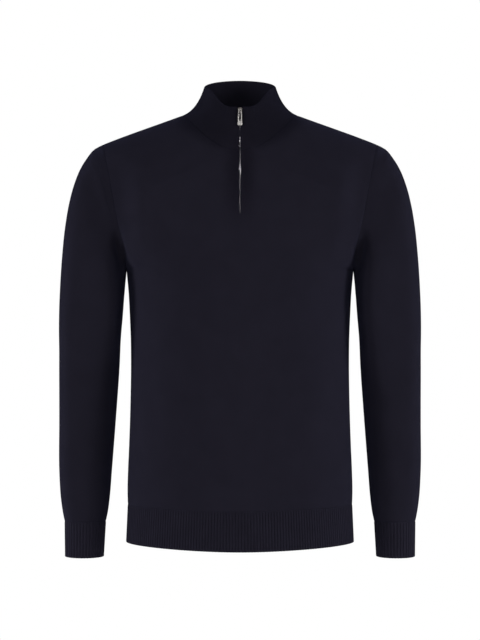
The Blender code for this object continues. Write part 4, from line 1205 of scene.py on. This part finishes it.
def make_sweater():
    cloths, line = make_cloths()
    knits = {name: knit(name, *look) for name, (_, *look) in KNITS.items()}
    for obj in [*cloths, *make_ribs()]:
        node, name, flat, area = SHEETS[obj.name]
        dress(obj, knits[name], [node], KNITS[name][0])
    dress(make_teeth(line), nickel("nickel_teeth"), ["zip_chain"], "nickel")


def finish_hardware(nodes):
    """Better finishes on the pieces of the frame that stay."""
    woven = tape()
    finishes = {"zip_tape_left": woven, "zip_tape_right": woven}
    metals = {name: nickel(name) for name in ("nickel_plate", "nickel_painted_shade")}
    finishes.update({name: metals[metal] for name, metal in HARDWARE.items()})
    for name, finish in finishes.items():
        nodes[name].data.materials.clear()
        nodes[name].data.materials.append(finish)


# ======== studio
CAMERA_Y, CAMERA_Z, LENS = -2.5, -0.3223, 89.0
FLOOR_Z, FLOOR_RADIUS, FLOOR_SIDES = -1.45, 3.0, 96
FLOOR_GREY, FLOOR_ROUGHNESS = 0.93, 0.9
AIM = (0.0, 0.0, -0.33)
LIGHT_DISTANCE = 4.0
# (name, degrees round from the front, degrees up, power, width, height)
LIGHTS = [
    ("front", 0, 9, 38, 1.3, 0.9),
    ("zip_glint", 0, 47, 1.05, 0.3, 0.15),
    ("side_right", -66, 8, 137, 1.0, 2.2),
    ("side_left", 66, 8, 137, 1.0, 2.2),
    ("rear", 180, 14, 90, 1.0, 2.2),
]
SURROUND = 0.13  # the light of the white room, next to how bright the camera sees it


def add_light(name, degrees, degrees_up, power, width, height):
    """A soft box round from the front, aimed at the middle of the sweater."""
    round_by, up = math.radians(degrees), math.radians(degrees_up)
    lamp = bpy.data.lights.new(name, "AREA")
    lamp.shape, lamp.energy = "RECTANGLE", power
    lamp.size, lamp.size_y = width, height
    obj = bpy.data.objects.new(name, lamp)
    way = Vector((math.sin(round_by) * math.cos(up), -math.cos(round_by) * math.cos(up), math.sin(up)))
    obj.location = Vector(AIM) + way * LIGHT_DISTANCE
    obj.rotation_euler = (-way).to_track_quat("-Z", "Y").to_euler()
    obj.visible_camera = False
    bpy.context.scene.collection.objects.link(obj)


def make_studio():
    scene = bpy.context.scene
    scene.view_settings.view_transform = "Standard"
    camera = bpy.data.cameras.new("camera")
    camera.lens = LENS
    place = bpy.data.objects.new("camera", camera)
    place.location = (0, CAMERA_Y, CAMERA_Z)
    place.rotation_euler = (math.radians(90), 0, 0)
    scene.collection.objects.link(place)
    scene.camera = place
    for light in LIGHTS:
        add_light(*light)
    world = bpy.data.worlds.new("white_studio")
    world.use_nodes = True
    tree = world.node_tree
    ray = tree.nodes.new("ShaderNodeLightPath")
    strength = tree.nodes.new("ShaderNodeMapRange")
    strength.inputs["To Min"].default_value = SURROUND
    tree.links.new(ray.outputs["Is Camera Ray"], strength.inputs["Value"])
    tree.links.new(strength.outputs["Result"], tree.nodes["Background"].inputs["Strength"])
    tree.nodes["Background"].inputs["Color"].default_value = (1, 1, 1, 1)
    scene.world = world
    angles = np.linspace(0, 2 * math.pi, FLOOR_SIDES, endpoint=False)
    ring = [(FLOOR_RADIUS * math.cos(a), FLOOR_RADIUS * math.sin(a), FLOOR_Z) for a in angles]
    floor = make_mesh("floor", np.array(ring) / MM, [range(FLOOR_SIDES)])
    g = Graph("pale_floor")
    g.set(Base_Color=(FLOOR_GREY, FLOOR_GREY, FLOOR_GREY, 1), Roughness=FLOOR_ROUGHNESS)
    floor.data.materials.append(g.material)


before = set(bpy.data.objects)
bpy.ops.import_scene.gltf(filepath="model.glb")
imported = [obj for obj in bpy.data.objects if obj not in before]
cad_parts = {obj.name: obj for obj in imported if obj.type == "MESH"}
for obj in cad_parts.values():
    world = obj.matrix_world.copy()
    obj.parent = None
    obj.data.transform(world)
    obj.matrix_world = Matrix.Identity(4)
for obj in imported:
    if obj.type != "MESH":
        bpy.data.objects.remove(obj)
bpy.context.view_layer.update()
make_sweater()
finish_hardware(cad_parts)
make_studio()
